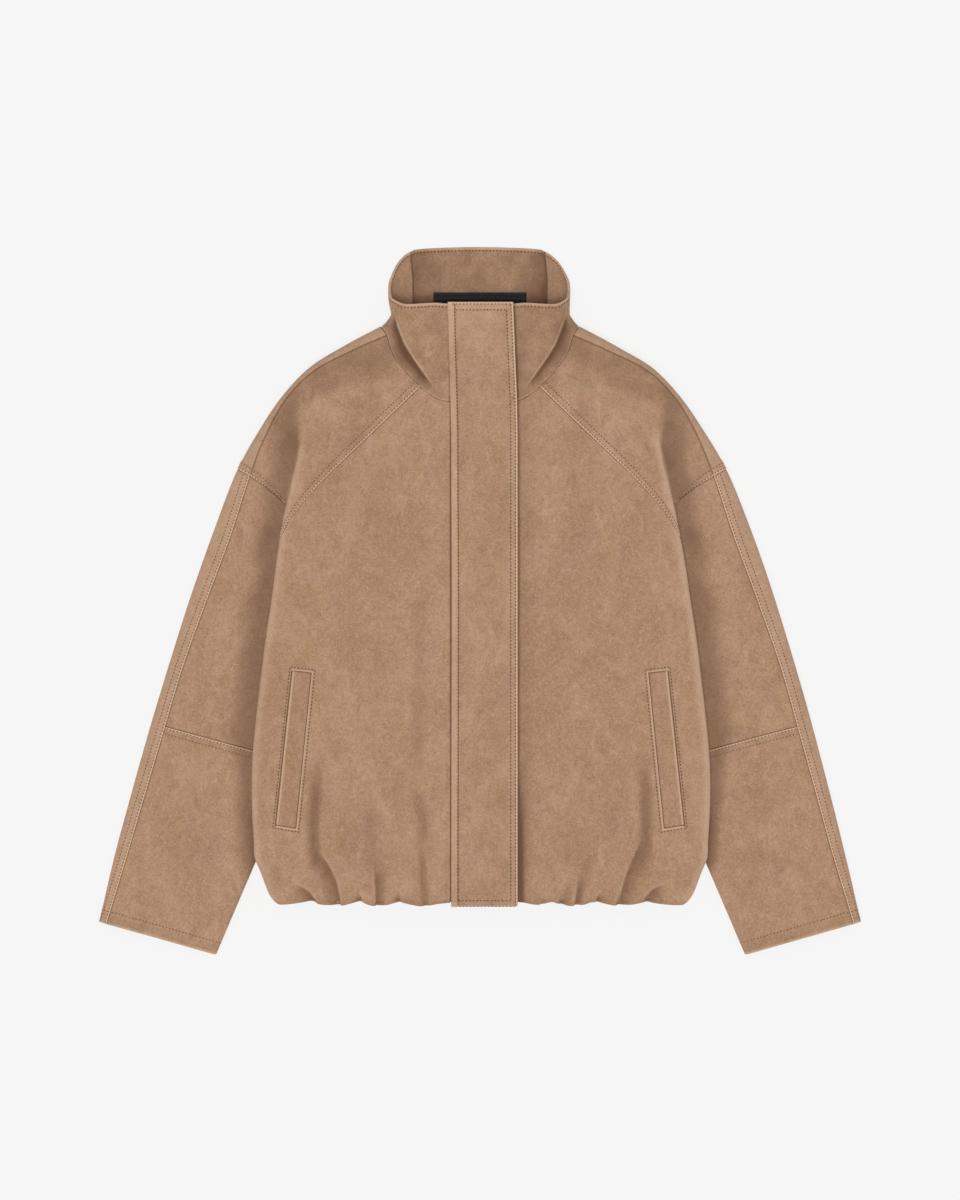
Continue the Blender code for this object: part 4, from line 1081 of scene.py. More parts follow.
RIGHT_ARM_OUT = (  # y, how far the right arm lies further out than the left
    (262, 0), (246, 1.8), (191, 2.4), (164, 3.2), (137, 4.1), (110, 4.8),
    (82, 5.2), (55, 5.5), (28, 5.4), (0, 5), (-54, 4.3), (-109, 3.5),
    (-163, 2.3), (-218, 1.1), (-260, 0),
)
ARM_SHIFT_WIDTH = 60.0
LEFT_CUFF_IN = 1.2  # how far the left forearm's inner side lies nearer the body


def arm_grid(surface, columns, rows, side):
    """A grid of the arm, whose outer part lies further out on the right."""
    points, normals = surface_grid(surface, columns, rows, side)
    outline = read([(row[2], row[1]) for row in reversed(ARM_LINES)], points[..., 1])
    share = ramp(np.abs(points[..., 0]) - outline, -ARM_SHIFT_WIDTH, -5.0)
    if side == RIGHT:
        points[..., 0] += share * read(sorted(RIGHT_ARM_OUT), points[..., 1])
    else:
        points[..., 0] += LEFT_CUFF_IN * (1 - share) * ramp(points[..., 1], -220.0, -270.0)
    return points, normals


def placed(name, data):
    """Object of its data, linked into the scene."""
    thing = bpy.data.objects.new(name, data)
    bpy.context.scene.collection.objects.link(thing)
    return thing


def object_from(name, points, faces, finish, wear=None):
    """Object in metres, with the rubbed nap and painted light and shade of its points as an
    attribute.
    """
    mesh = bpy.data.meshes.new(name)
    mesh.from_pydata((points * MM).tolist(), [], faces)
    mesh.shade_smooth()
    if wear is not None:
        mesh.attributes.new("wear", "FLOAT", "POINT").data.foreach_set("value", wear)
    mesh.materials.append(finish)
    return placed(name, mesh)


def grid_faces(index):
    quads = np.stack([index[:-1, :-1], index[:-1, 1:], index[1:, 1:], index[1:, :-1]], axis=-1)
    return quads.reshape(-1, 4)


def wall_faces(rows, columns):
    """Faces of two matching grids and of the rim that joins them."""
    index = np.arange(rows * columns).reshape(rows, columns)
    quads = grid_faces(index)
    low = quads[:, ::-1] + rows * columns
    ring = np.concatenate([index[0], index[1:, -1], index[-1, -2::-1], index[-2:0:-1, 0]])
    ahead = np.roll(ring, -1)
    rim = np.stack([ahead, ring, ring + rows * columns, ahead + rows * columns], axis=-1)
    return np.concatenate([quads, low, rim])


def signed_volume(points, quads):
    a, b, c, d = (points[quads[:, k]] for k in range(4))
    return (np.cross(a, b) * c).sum() + (np.cross(a, c) * d).sum()


def cloth(node, points, normals, wall, edges, finish, inner_edges=None, outside=0.0,
          group=None, creases=CREASES, shade=0.0, inner_painted_shade=0.0, hem=None):
    """Panel of cloth that stands for a node: its solid's outer face, draped, with a wall
    under it. The painted shade and highlight given for its faces are added to the rubbed nap
    and painted light and shade of their edges and creases."""
    lift, worn_and_painted = drape(points, normals[..., 2], creases)
    base = wavy(points + normals * (outside + lift)[..., None], hem)
    rise, wear = edge_relief(base, edges)
    wear = np.clip(wear + worn_and_painted + shade, DARKEST, 1)
    outer = base + normals * rise[..., None]
    outer[..., 2] = np.maximum(outer[..., 2], GROUND)
    inner_edges = inner_edges or {}
    sink, inner_wear_and_painted_light = edge_relief(base, inner_edges)
    inner_wear_and_painted_light = np.clip(inner_wear_and_painted_light + inner_painted_shade, DARKEST, 1)
    inner = base - normals * (wall + sink)[..., None]
    sew(group, outer, normals, edges)
    sew(group, inner, -normals, inner_edges)
    outer, _, wear = tucked([outer, normals, wear[..., None]], edges)
    inner, _, inner_wear_and_painted_light = tucked([inner, normals, inner_wear_and_painted_light[..., None]], edges)
    quads = wall_faces(*outer.shape[:2])
    both = np.concatenate([outer.reshape(-1, 3), inner.reshape(-1, 3)])
    both[:, 2] = np.maximum(both[:, 2], GROUND)
    if signed_volume(both, quads) < 0:
        quads = quads[:, ::-1]
    worn_and_painted = np.concatenate([wear.ravel(), inner_wear_and_painted_light.ravel()])
    thing = object_from(f"{node}_cloth", both, quads.tolist(), finish, worn_and_painted)
    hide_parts(node)
    return thing


# ---- materials
class Nodes:
    """Short way to add and link shader nodes."""

    def __init__(self, name):
        self.material = bpy.data.materials.new(name)
        self.material.use_nodes = True
        self.tree = self.material.node_tree
        self.shader = self.tree.nodes["Principled BSDF"]
        self.place = self.tree.nodes.new("ShaderNodeTexCoord").outputs["Object"]

    def fill(self, sockets, values):
        """Gives sockets, by their name or number, a value or a link."""
        for key, value in values.items():
            if isinstance(value, bpy.types.NodeSocket):
                self.tree.links.new(value, sockets[key])
            else:
                sockets[key].default_value = value

    def finish(self, values):
        self.fill(self.shader.inputs, values)
        return self.material

    def add(self, kind, values):
        node = self.tree.nodes.new(f"ShaderNode{kind}")
        self.fill(node.inputs, values)
        return node

    def noise(self, size, detail, roughness=0.55, distortion=0.0, stretch=1.0):
        """Noise with features of a size in millimetres, longer along the garment."""
        squeeze = self.add("VectorMath", {0: self.place, 1: (1.0, 1.0 / stretch, 1.0)})
        squeeze.operation = "MULTIPLY"
        node = self.add("TexNoise", {
            "Vector": squeeze.outputs["Vector"], "Scale": 1 / (size * MM), "Detail": detail,
            "Roughness": roughness, "Distortion": distortion})
        return node.outputs["Fac"]

    def ramp(self, source, low, high, end=1.0):
        """0 at low and up to end at high."""
        node = self.add("MapRange", {"Value": source, "From Min": low, "From Max": high,
                                     "To Min": 0.0, "To Max": end})
        return node.outputs["Result"]

    def mix(self, share, first, second):
        node = self.tree.nodes.new("ShaderNodeMix")
        node.data_type = "RGBA"
        sockets = [socket for socket in node.inputs if socket.enabled]
        self.fill(sockets, {0: share, 1: first, 2: second})
        return next(socket for socket in node.outputs if socket.enabled)

    def bump(self, height, strength, distance, under=None):
        below = {"Normal": under} if under else {}
        node = self.add("Bump", {"Strength": strength, "Distance": distance * MM,
                                 "Height": height, **below})
        return node.outputs["Normal"]

    def attribute(self, name):
        node = self.tree.nodes.new("ShaderNodeAttribute")
        node.attribute_name = name
        return node.outputs["Fac"]


def colour(red, green, blue):
    return (red, green, blue, 1.0)


SUEDE_DARK = colour(0.315, 0.178, 0.104)
SUEDE_MIDDLE = colour(0.445, 0.264, 0.163)
SUEDE_LIGHT = colour(0.595, 0.384, 0.256)
# colours that rubbed nap and painted light and shade mix in: the lighter one for rubbed nap and
# painted highlights, the darker one for painted shade
SUEDE_WORN_AND_HIGHLIT = colour(0.725, 0.500, 0.350)
SUEDE_PAINTED_SHADE = colour(0.175, 0.090, 0.050)
SUEDE_OLIVE = colour(0.425, 0.270, 0.143)
SUEDE_ROSE = colour(0.462, 0.268, 0.184)


SUEDE_NOISES = {  # size in mm, detail, roughness, distortion, stretch
    "cloud": (50.0, 3, 0.6, 0.5, 2.0),
    "hue": (22.0, 4, 0.65, 0.8, 1.4),
    "patch": (12.0, 4, 0.65, 0.9, 1.5),
    "nap": (3.4, 4, 0.8, 0.4),
    "speck": (1.7, 2, 0.75),
}
SUEDE_LAYERS = (  # noise, or the rubbed nap with painted light and shade; from, to, the share that is mixed in there, colour
    ("hue", 0.50, 0.66, 0.90, SUEDE_OLIVE),
    ("hue", 0.50, 0.34, 0.90, SUEDE_ROSE),
    ("cloud", 0.40, 0.70, 0.30, SUEDE_DARK),
    ("cloud", 0.60, 0.30, 0.27, SUEDE_LIGHT),
    ("patch", 0.52, 0.72, 0.62, SUEDE_DARK),
    ("patch", 0.48, 0.28, 0.52, SUEDE_LIGHT),
    ("nap", 0.52, 0.68, 0.62, SUEDE_DARK),
    ("nap", 0.48, 0.32, 0.50, SUEDE_LIGHT),
    ("speck", 0.53, 0.70, 0.80, SUEDE_LIGHT),
    ("speck", 0.47, 0.30, 0.75, SUEDE_DARK),
    # lighter where the nap is rubbed and where highlights are painted, darker where shade is
    # painted
    ("wear", 0.0, 1.0, 0.85, SUEDE_WORN_AND_HIGHLIT),
    ("wear", 0.0, DARKEST, 1.0, SUEDE_PAINTED_SHADE),
)


def suede():
    nodes = Nodes("suede")
    sources = {name: nodes.noise(*row) for name, row in SUEDE_NOISES.items()}
    sources["wear"] = nodes.attribute("wear")
    base = SUEDE_MIDDLE
    for name, low, high, share, tone in SUEDE_LAYERS:
        base = nodes.mix(nodes.ramp(sources[name], low, high, share), base, tone)
    relief = nodes.bump(nodes.noise(0.8, 3, 0.7), 0.6, 0.3)
    relief = nodes.bump(sources["nap"], 0.5, 0.6, relief)
    relief = nodes.bump(sources["patch"], 0.4, 1.5, relief)
    return nodes.finish({
        "Base Color": base, "Normal": relief, "Roughness": 0.95, "Specular IOR Level": 0.1,
        "Sheen Weight": 0.30, "Sheen Roughness": 0.4, "Sheen Tint": colour(0.95, 0.78, 0.62)})


def thread(name, low, high):
    nodes = Nodes(name)
    base = nodes.mix(nodes.ramp(nodes.noise(3.0, 2), 0.35, 0.65), low, high)
    relief = nodes.bump(nodes.noise(0.25, 1), 0.4, 0.08)
    return nodes.finish({"Base Color": base, "Normal": relief, "Roughness": 0.75})


def label_cloth():
    nodes = Nodes("label_cloth")
    wave = nodes.add("TexWave", {"Vector": nodes.place, "Scale": 420.0, "Distortion": 0.6})
    wave.bands_direction = "Y"
    weave = wave.outputs["Fac"]
    base = nodes.mix(weave, colour(0.003, 0.003, 0.004), colour(0.009, 0.010, 0.011))
    # lighter along the label's edges and its painted sheen
    worn_and_painted = nodes.ramp(nodes.attribute("wear"), 0.0, 1.0, 0.8)
    base = nodes.mix(worn_and_painted, base, colour(0.030, 0.034, 0.038))
    return nodes.finish({"Base Color": base, "Normal": nodes.bump(weave, 0.5, 0.12),
                         "Roughness": 0.6, "Specular IOR Level": 0.25})


def paper():
    return Nodes("pale_floor").finish({
        "Base Color": colour(0.15, 0.15, 0.15), "Emission Color": colour(1.0, 1.0, 1.0),
        "Emission Strength": FLOOR_GLOW, "Roughness": 1.0, "Specular IOR Level": 0.0})


# ---- panels
SUEDE_FINISH, LABEL_FINISH = suede(), label_cloth()
DARK_THREAD = thread("dark_thread", colour(0.085, 0.042, 0.022), colour(0.145, 0.078, 0.042))
WORN_THREAD = thread("worn_thread", colour(0.160, 0.088, 0.050), colour(0.245, 0.138, 0.082))
DARK_GROUPS = "topstitching_placket", "topstitching_collar", "topstitching_pockets"
UNDER, PLAIN, FREE = Edge("under"), Edge("plain"), Edge("free")
THICK, HIDDEN, UNDER_WELT, GROOVE = Edge("thick"), Edge("hidden"), Edge("welt"), Edge("groove")
TWO_ROWS = ((NEAR_ROW, 1, 1), (FAR_ROW, 1, 1))
CUFF_ROW = ((14.0, 1, 1),)
BACK_STEP, FRONT_STEP, HEM_STEP = 5.5, 4.4, 1.8
BODY_HEIGHT, FRONT_WIDTH, BACK_WIDTH = 530.0, 207.0, 238.0
LIP_STEP, RETURN_ROWS = 0.8, 7
FRONT_FOLD_COLUMNS, BACK_FOLD_COLUMNS, BACK_HEM_STEP = 18, 9, 3.0
SHOULDER_LENGTH, SHOULDER_STEP = 225.0, 2.8
SHOULDER_HALF, SHOULDER_COLUMN, UNDERFOLD_ROWS = 95.0, 2.6, 5
FOLD_SHARES, FOLD_TRIES = (0.1, 0.93), 201  # between which the body's fold is looked for
SLEEVE_WIDTH, SLEEVE_COLUMN = 165.0, 2.4
UPPER_LENGTH, LOWER_LENGTH, SLEEVE_STEP = 285.0, 212.0, 3.2
SLEEVE_BACK_LENGTH, SLEEVE_BACK_STEP = 500.0, 4.0
SEAM_BAND, SEAM_COLUMN = 50.0, 1.4  # of a back piece, the part by the seam on its top
SEAM = 0.0004  # share of a panel left open at a seam
HEM_SHARE = 0.17  # of the body that its gathers cross


def body_rows(step, hem_step):
    """Rows from the hem's return inside, round its lip and up the body."""
    returned = np.linspace(-LIP_LENGTH - LIP_RETURN, -LIP_LENGTH, RETURN_ROWS)[:-1]
    lip = np.arange(-LIP_LENGTH, 0, LIP_STEP)
    hem = np.arange(0, HEM_SHARE, hem_step / BODY_HEIGHT)
    rest = graded(HEM_SHARE, 1 - SEAM, BODY_HEIGHT * (1 - HEM_SHARE), step, False)
    return np.concatenate([returned, lip, hem, rest])


LIP_SHADE, LIP_SHADE_BAND = 0.30, (HEM_Y + 6.5, HEM_Y + 2.0)


def lip_shade(points):
    """Shade on the hem's last few millimetres, where it turns under."""
    return -LIP_SHADE * ramp(points[..., 1], *LIP_SHADE_BAND)


def seam_turn(v):
    """Half the side seam's gap in quarter turns, more round the tight hem lip."""
    return np.where(np.asarray(v) < 0, 0.1, 0.012)


def front(side, word):
    rows = body_rows(FRONT_STEP, HEM_STEP)
    flat = np.tile(graded(0, 1, FRONT_WIDTH, HEM_STEP, side == LEFT, False), (len(rows), 1))
    end = (SIDE_SEAM_TURN - seam_turn(rows))[:, None]
    fold = np.linspace(0, 1, FRONT_FOLD_COLUMNS)[1:]
    columns = np.concatenate([flat, 1 + fold * end], axis=1)
    points, normals = surface_grid(front_surface(side), columns, rows, side)
    lean_over(points)
    edges = {"top": UNDER, "left": GROOVE if side == LEFT else HIDDEN}
    return cloth(f"front_body_{word}", points, normals, SUEDE, edges, SUEDE_FINISH,
                 shade=beside_flap(points) + body_rim(points) + lip_shade(points))


def back():
    rows = body_rows(BACK_STEP, BACK_HEM_STEP)
    fold = np.linspace(0, 1, BACK_FOLD_COLUMNS)[:-1]
    start = (SIDE_SEAM_TURN + seam_turn(rows) - 2)[:, None]
    flat = np.tile(graded(0, 1, BACK_WIDTH, BACK_STEP, False, False), (len(rows), 1))
    columns = np.concatenate([start * (1 - fold), flat], axis=1)
    half, normals = surface_grid(back_surface, columns, rows, LEFT)
    points, normals = (np.concatenate([grid, (grid * MIRROR)[:, -2::-1]], axis=1)
                       for grid in (half, normals))
    lean_over(points)
    return cloth("back_body", points, normals, SUEDE, {"top": UNDER}, SUEDE_FINISH)


def shoulder_front(side, word):
    places = np.concatenate([graded(-1 + SEAM, -SEAM, SHOULDER_LENGTH, SHOULDER_STEP),
                             UNDERFOLD * np.linspace(0.2, 1, UNDERFOLD_ROWS) - SEAM])
    outer = graded(0, 1, SHOULDER_HALF, SHOULDER_COLUMN)
    tries = np.linspace(0, 1, FOLD_TRIES)
    rows = []
    for place in places:
        plan = shoulder_plan(tries, np.full_like(tries, min(place, -SEAM)))
        inside = body_edge(plan[:, 1]) - plan[:, 0]
        fold = np.clip(np.interp(0, inside, tries), *FOLD_SHARES)
        rows.append(np.concatenate([SEAM + (fold - SEAM) * outer,
                                    fold + (1 - SEAM - fold) * outer[1:]]))
    points, normals = arm_grid(shoulder_front_surface, np.array(rows), places, side)
    seam = (np.array(rows) < 0.5) & (places > -SEAM)[:, None]
    normals = np.where(seam[..., None], normals[places <= -SEAM][-1], normals)
    edges = {"left": UNDER, "right": Edge("lap", TWO_ROWS), "foot": UNDER,
             "top": Edge("lap", ((NEAR_ROW, 1, 40), (FAR_ROW, 1, 40)))}
    return cloth(f"shoulder_front_{word}", points, normals, SUEDE, edges, SUEDE_FINISH,
                 group=f"topstitching_shoulder_{word}",
                 shade=beside_body(points) + body_rim(points)
                 + shoulder_shade(points, np.array(rows)) + uneven(points, *UNEVEN["shoulder"]))


def round_columns(share, count):
    """Columns round under the arm up to a share, then close ones to the seam on its top."""
    band = graded(share, 1 - SEAM, SEAM_BAND, SEAM_COLUMN, False)
    return np.concatenate([np.linspace(SEAM, share, count)[:-1], band])


def shoulder_back(side, word):
    columns = round_columns(0.72, 30)
    places = graded(-1 + SEAM, -SEAM, SHOULDER_LENGTH, SHOULDER_STEP)
    points, normals = arm_grid(shoulder_back_surface, columns, places, side)
    edges = {"left": UNDER, "right": UNDER, "foot": UNDER, "top": Edge("lap", TWO_ROWS)}
    # painted highlight: the back shoulder, seen as the strip round the outline, is made lighter
    # all over
    return cloth(f"shoulder_back_{word}", points, normals, SUEDE, edges, SUEDE_FINISH,
                 group=f"topstitching_shoulder_{word}", shade=0.20)


def sleeve_front(side, word, part):
    columns = graded(SEAM, 1 - SEAM, SLEEVE_WIDTH, SLEEVE_COLUMN, True, False)
    if part == "upper":
        places = graded(SEAM, 1 - SEAM, UPPER_LENGTH, SLEEVE_STEP)
        edges = {"left": UNDER, "foot": UNDER, "top": UNDER}
    else:
        places = graded(1 + SEAM, 2.0, LOWER_LENGTH, SLEEVE_STEP)
        edges = {"left": UNDER, "foot": Edge("lap", TWO_ROWS), "top": Edge("cuff", CUFF_ROW)}
    points, normals = arm_grid(sleeve_front_surface, columns, places, side)
    return cloth(f"sleeve_{part}_{word}", points, normals, SUEDE, edges, SUEDE_FINISH,
                 group=f"topstitching_sleeve_{word}", shade=beside_body(points))


def sleeve_back(side, word):
    columns = round_columns(0.75, 34)
    places = graded(SEAM, 2.0, SLEEVE_BACK_LENGTH, SLEEVE_BACK_STEP)
    points, normals = arm_grid(sleeve_back_surface, columns, places, side)
    edges = {"right": Edge("lap", TWO_ROWS), "foot": UNDER, "top": Edge("cuff", CUFF_ROW)}
    # painted highlight: the back sleeve, seen as the strip round the outline, is made lighter all
    # over
    return cloth(f"sleeve_back_{word}", points, normals, SUEDE, edges, SUEDE_FINISH,
                 group=f"topstitching_sleeve_{word}", shade=0.24)


COLLAR_HEIGHT = 105.0
FOLD_SHARE = 0.42  # of the collar's height that its fold takes
COLLAR_ROW = (4.6, 2, 2)
COLLAR_SEAM_ACROSS = 70.5
COLLAR_ARCH = 1.8  # of its back's top edge
COLLAR_LEAN, COLLAR_LEAN_BAND = 2.2, (335.0, 366.0)  # of its top to the left; y where it grows
COLLAR_GAP = 0.004  # sections left open at its seams
COLLAR_FOOT = -0.008  # share of its height, just under the neck seam
COLLAR_SIDE, COLLAR_COLUMN = 160.0, 1.6
FOLD_HEIGHT, FOLD_STEP, UPPER_HEIGHT, UPPER_STEP = 45.0, 1.2, 61.0, 2.6
COLLAR_BACK_WIDTH, COLLAR_BACK_COLUMN, COLLAR_BACK_STEP = 141.0, 2.6, 2.4
COLLAR_CORNER, CORNER_SECTION = 4.0, 0.08  # sections up to its front corner, and their step


def collar_front(side, word):
    start = LEFT_COLLAR_START if side == LEFT else RIGHT_COLLAR_START
    side_columns = graded(COLLAR_CORNER, COLLAR_BACK_SEAM - COLLAR_GAP, COLLAR_SIDE,
                          COLLAR_COLUMN, False)
    columns = np.concatenate([np.arange(start, COLLAR_CORNER, CORNER_SECTION), side_columns])
    folded = graded(COLLAR_FOOT, FOLD_SHARE, FOLD_HEIGHT, FOLD_STEP, True, False)
    rows = np.concatenate([folded[:-1], graded(FOLD_SHARE, 1.0, UPPER_HEIGHT, UPPER_STEP, False)])
    points, normals = surface_grid(collar_surface(side), columns, rows, side)
    sections = np.broadcast_to(columns, points.shape[:2])
    lift, worn_and_painted = collar_fold(points, sections)
    across, y = np.abs(points[..., 0]), points[..., 1]
    # the collar's fronts are darker all over, the right one more, with the nap's uneven tone
    worn_and_painted = worn_and_painted - (0.24 if side == RIGHT else 0.16) + uneven(points, *UNEVEN["collar_front"])
    # painted shade where the collar's sides turn down, below its top
    far = ramp(across, 70.0, 85.0) * ramp(y, 305.0, 290.0) * ramp(across, 96.0, 90.0)
    worn_and_painted = worn_and_painted - 0.16 * far
    if side == RIGHT:
        worn_and_painted = worn_and_painted + beside_flap(points)
    points[..., 2] += lift
    foot = ramp(y, 282.0, 294.0) * ramp(across, 82.0, 95.0)
    inward = 1.6 if side == RIGHT else 2.4 * ramp(y, 316.0, 298.0)
    points[..., 0] -= side * inward * foot + COLLAR_LEAN * ramp(y, *COLLAR_LEAN_BAND)
    inner = {"foot": PLAIN, "top": Edge("thick", (COLLAR_ROW,)), "right": UNDER}
    edges = {**inner, "left": GROOVE if side == LEFT else HIDDEN}
    # its inner face gets painted shade
    return cloth(f"collar_front_{word}", points, normals, COLLAR_WALL, edges, SUEDE_FINISH,
                 inner, group="topstitching_collar", creases=(), shade=worn_and_painted,
                 inner_painted_shade=-0.25)


def collar_back():
    far = 2 * COLLAR_CENTRE_BACK - COLLAR_BACK_SEAM
    columns = graded(COLLAR_BACK_SEAM + COLLAR_GAP, far - COLLAR_GAP, COLLAR_BACK_WIDTH,
                     COLLAR_BACK_COLUMN)
    rows = graded(SEAM, 1.0, COLLAR_HEIGHT, COLLAR_BACK_STEP)
    points, normals = surface_grid(collar_back_surface, columns, rows, LEFT)
    arch = np.maximum(1 - (points[..., 0] / COLLAR_SEAM_ACROSS) ** 2, 0)
    points[..., 1] += COLLAR_ARCH * arch * ramp(rows, 0.4, 1.0)[:, None]
    points[..., 0] -= COLLAR_LEAN * ramp(points[..., 1], *COLLAR_LEAN_BAND)
    edges = {"foot": UNDER, "top": THICK, "left": UNDER, "right": UNDER}
    inner = {**edges, "top": Edge("thick", (COLLAR_ROW,))}
    across, y = np.abs(points[..., 0]), points[..., 1]
    right = 1.0 + 0.9 * (points[..., 0] > 0)
    # painted shade on the inside of the collar's back: deepest by its side seams and more on the
    # right, growing towards its foot and its sides, with the nap's uneven tone
    painted_inside_shade = -0.27 - 0.36 * right * np.exp(-np.maximum(COLLAR_SEAM_ACROSS - across, 0) / 11.0)
    painted_inside_shade = painted_inside_shade - 0.20 * ramp(y, 345.0, 318.0) + uneven(points, *UNEVEN["collar_back"])
    painted_inside_shade = painted_inside_shade - 0.08 - 0.14 * ramp(across, 30.0, 60.0)
    return cloth("collar_back", points, normals, COLLAR_WALL, edges, SUEDE_FINISH, inner,
                 group="topstitching_collar", creases=(), inner_painted_shade=painted_inside_shade)


FLAP_ROW = 7.6  # along the flap's sewn edge
FLAP_NEAR_ROW = 2.8  # along its free edge
FLAP_HEM = 0.0  # how far its foot is drawn up
FLAP_LENGTH, FLAP_STEP, FLAP_COLUMN, FLAP_FOOT_STEP = 625.0, 3.4, 3.0, 0.6
FLAP_SEAM_IN = (  # y, how far its sewn edge lies further in
    (-300, 2.3), (-170, 2.4), (0, 2.8), (100, 2.4), (173, 2.2), (216, 1.2),
    (262, -0.2), (308, -1.2),
)


def flap():
    columns = graded(0, 1, FLAP_RIGHT - FLAP_LEFT, FLAP_COLUMN)
    rows = np.concatenate([np.arange(FLAP_FOOT_V, 0, FLAP_FOOT_STEP),
                           graded(0, 1, FLAP_LENGTH, FLAP_STEP)])
    points, normals = surface_grid(flap_base, columns, rows, RIGHT)
    share = (FLAP_RIGHT - points[..., 0]) / (FLAP_RIGHT - FLAP_LEFT)
    points[..., 0] += np.clip(share, 0, 1) * read(FLAP_SEAM_IN, points[..., 1])
    sink = flap_sink(points[..., 0], points[..., 1])
    edges = {"left": Edge("ridge", ((FLAP_ROW, 8.6, 2.1),), 0.75),
             "right": Edge("flap", ((FLAP_NEAR_ROW, 1.5, 2.1), (FAR_ROW, 8.8, 8.5)), 0.30),
             "top": Edge("flap", ((2.6, 4, 2.5), (8.8, FLAP_ROW, FAR_ROW)), 0.30),
             "foot": Edge("flap", ((1.5, FLAP_ROW, 2.5), (8.8, FLAP_ROW, FAR_ROW)), 0.30)}
    x, y = points[..., 0], points[..., 1]
    # painted highlight on the strip by its free edge and along its top; it is also lighter
    # towards the top and darker in a band lower down, with the nap's uneven tone
    light = np.maximum(ramp(x, FLAP_RIGHT - 12.0, FLAP_RIGHT - 7.0), ramp(y, 300.0, 306.0))
    light = 0.17 * light + 0.10 * ramp(y, 235.0, 300.0) + uneven(points, *UNEVEN["flap"])
    light = light - 0.13 * bell(y, 22.0, 226.0)
    return cloth("placket_flap", points, normals, FLAP_WALL, edges, SUEDE_FINISH,
                 outside=LIE_GAP + FLAP_WALL - sink, group="topstitching_placket",
                 shade=light, hem=FLAP_HEM)


# pocket: a welt in a piped window, open along its outer side
WELT_INSET = (1.0, 1.5, 1.5, 1.5)  # outer, upper, inner, lower side
WELT_TOP = 1.25
WELT_WIDTH, WELT_COLUMN, WELT_LENGTH, WELT_STEP = 18.0, 1.5, 164.0, 2.5
SHORT_COUNT, LONG_COUNT = 12, 80  # of the piping's columns along a side
PIPING = (  # distance out from the window's edge, height of the piping, height at the opening
    (-2, -0.4, 0.1), (-1.6, 0.2, 0.1), (-1.3, 0.8, 0.1), (-0.95, 1.3, 0.1),
    (-0.6, 1.45, 0.1), (-0.25, 1.2, 0.15), (0.1, 0.75, 0.5), (0.5, 0.45, 0.75),
    (0.9, 0.36, 0.6), (1.4, 0.38, 0.42), (1.9, 0.30, 0.30), (2.5, 0.36, 0.36),
    (3.4, 0.30, 0.30), (4.8, 0.08, 0.08), (6.2, -0.12, -0.12),
)
POCKET_ROW = 10  # of the piping's table, where it is stitched


def grown(corners, margins):
    """Corners of a four-sided outline whose sides are moved out by the margins. Side k runs
    from corner k - 1 to corner k."""
    sides = []
    middle = corners.mean(0)
    for k, margin in enumerate(margins):
        start, end = corners[k - 1], corners[k]
        out = unit(np.array((end[1] - start[1], start[0] - end[0])))
        out = out if out @ (start - middle) > 0 else -out
        sides.append((out, out @ start + margin))
    corners = []
    for k in range(4):
        first, second = sides[k], sides[(k + 1) % 4]
        corners.append(np.linalg.solve([first[0], second[0]], [first[1], second[1]]))
    return np.array(corners)


def on_front(plan, side, rise):
    """Points at a height above the draped front."""
    level = front_level(plan[..., 0], plan[..., 1])
    points = np.stack([plan[..., 0] * side, plan[..., 1], level], axis=-1)
    points[..., 2] += rise + drape(points, np.ones(level.shape))[0]
    return points


def pocket(side, word):
    window = np.array(WELT_CORNERS)
    inner = grown(window, [-inset for inset in WELT_INSET])
    a, b = np.meshgrid(graded(0, 1, WELT_WIDTH, WELT_COLUMN),
                       graded(0, 1, WELT_LENGTH, WELT_STEP))
    upper = inner[1] + (inner[0] - inner[1]) * a[..., None]
    lower = inner[2] + (inner[3] - inner[2]) * a[..., None]
    points = on_front(lower + (upper - lower) * b[..., None], side, 0.0)
    normals = np.broadcast_to(UP, points.shape)
    points[..., 2] -= drape(points, normals[..., 2])[0]
    edges = {name: UNDER_WELT for name in ("left", "foot", "top")}
    edges["right"] = FREE
    welt = cloth(f"pocket_welt_{word}", points, normals, WELT_WALL, edges, SUEDE_FINISH,
                 outside=WELT_TOP, shade=-0.10)
    counts = [SHORT_COUNT, LONG_COUNT] * 2
    opening = np.repeat([False, False, False, True], counts)
    loops, piping_painted_light = [], []
    for out, piped, opened in PIPING:
        corners = grown(window, [out] * 4)
        plan = [start + (end - start) * (np.arange(count)[:, None] / count)
                for start, end, count in zip(corners, np.roll(corners, -1, axis=0), counts)]
        loops.append(on_front(np.concatenate(plan), side, np.where(opening, opened, piped)))
        # painted highlight along the piping with painted shade just inside it, a painted shadow
        # in the open slit, and painted shade along the stitch row
        bright = bell(out, 0.75, -0.35) - 0.5 * bell(out, 0.4, -1.8)
        painted_slit_shadow = np.where(out < 0.3, -1.0, 0.0)
        piping_painted_light.append(np.where(opening, painted_slit_shadow, bright) - 0.2 * bell(out, 0.6, 1.9))
    grid = np.array(loops)
    rows, columns = grid.shape[:2]
    index = np.arange(rows * columns).reshape(rows, columns)
    quads = grid_faces(np.concatenate([index, index[:, :1]], axis=1))
    a, b, c = (grid.reshape(-1, 3)[quads[:, k]] for k in range(3))
    if np.cross(b - a, c - a)[:, 2].sum() < 0:
        quads = quads[:, ::-1]
    ring = object_from(f"pocket_piping_{word}", grid.reshape(-1, 3), quads.tolist(),
                       SUEDE_FINISH, np.ravel(piping_painted_light))
    line = np.concatenate([grid[POCKET_ROW], grid[POCKET_ROW, :1]])
    mark_stitches("topstitching_pockets", line, np.tile(UP, (len(line), 1)), closed=True)
    return welt, ring


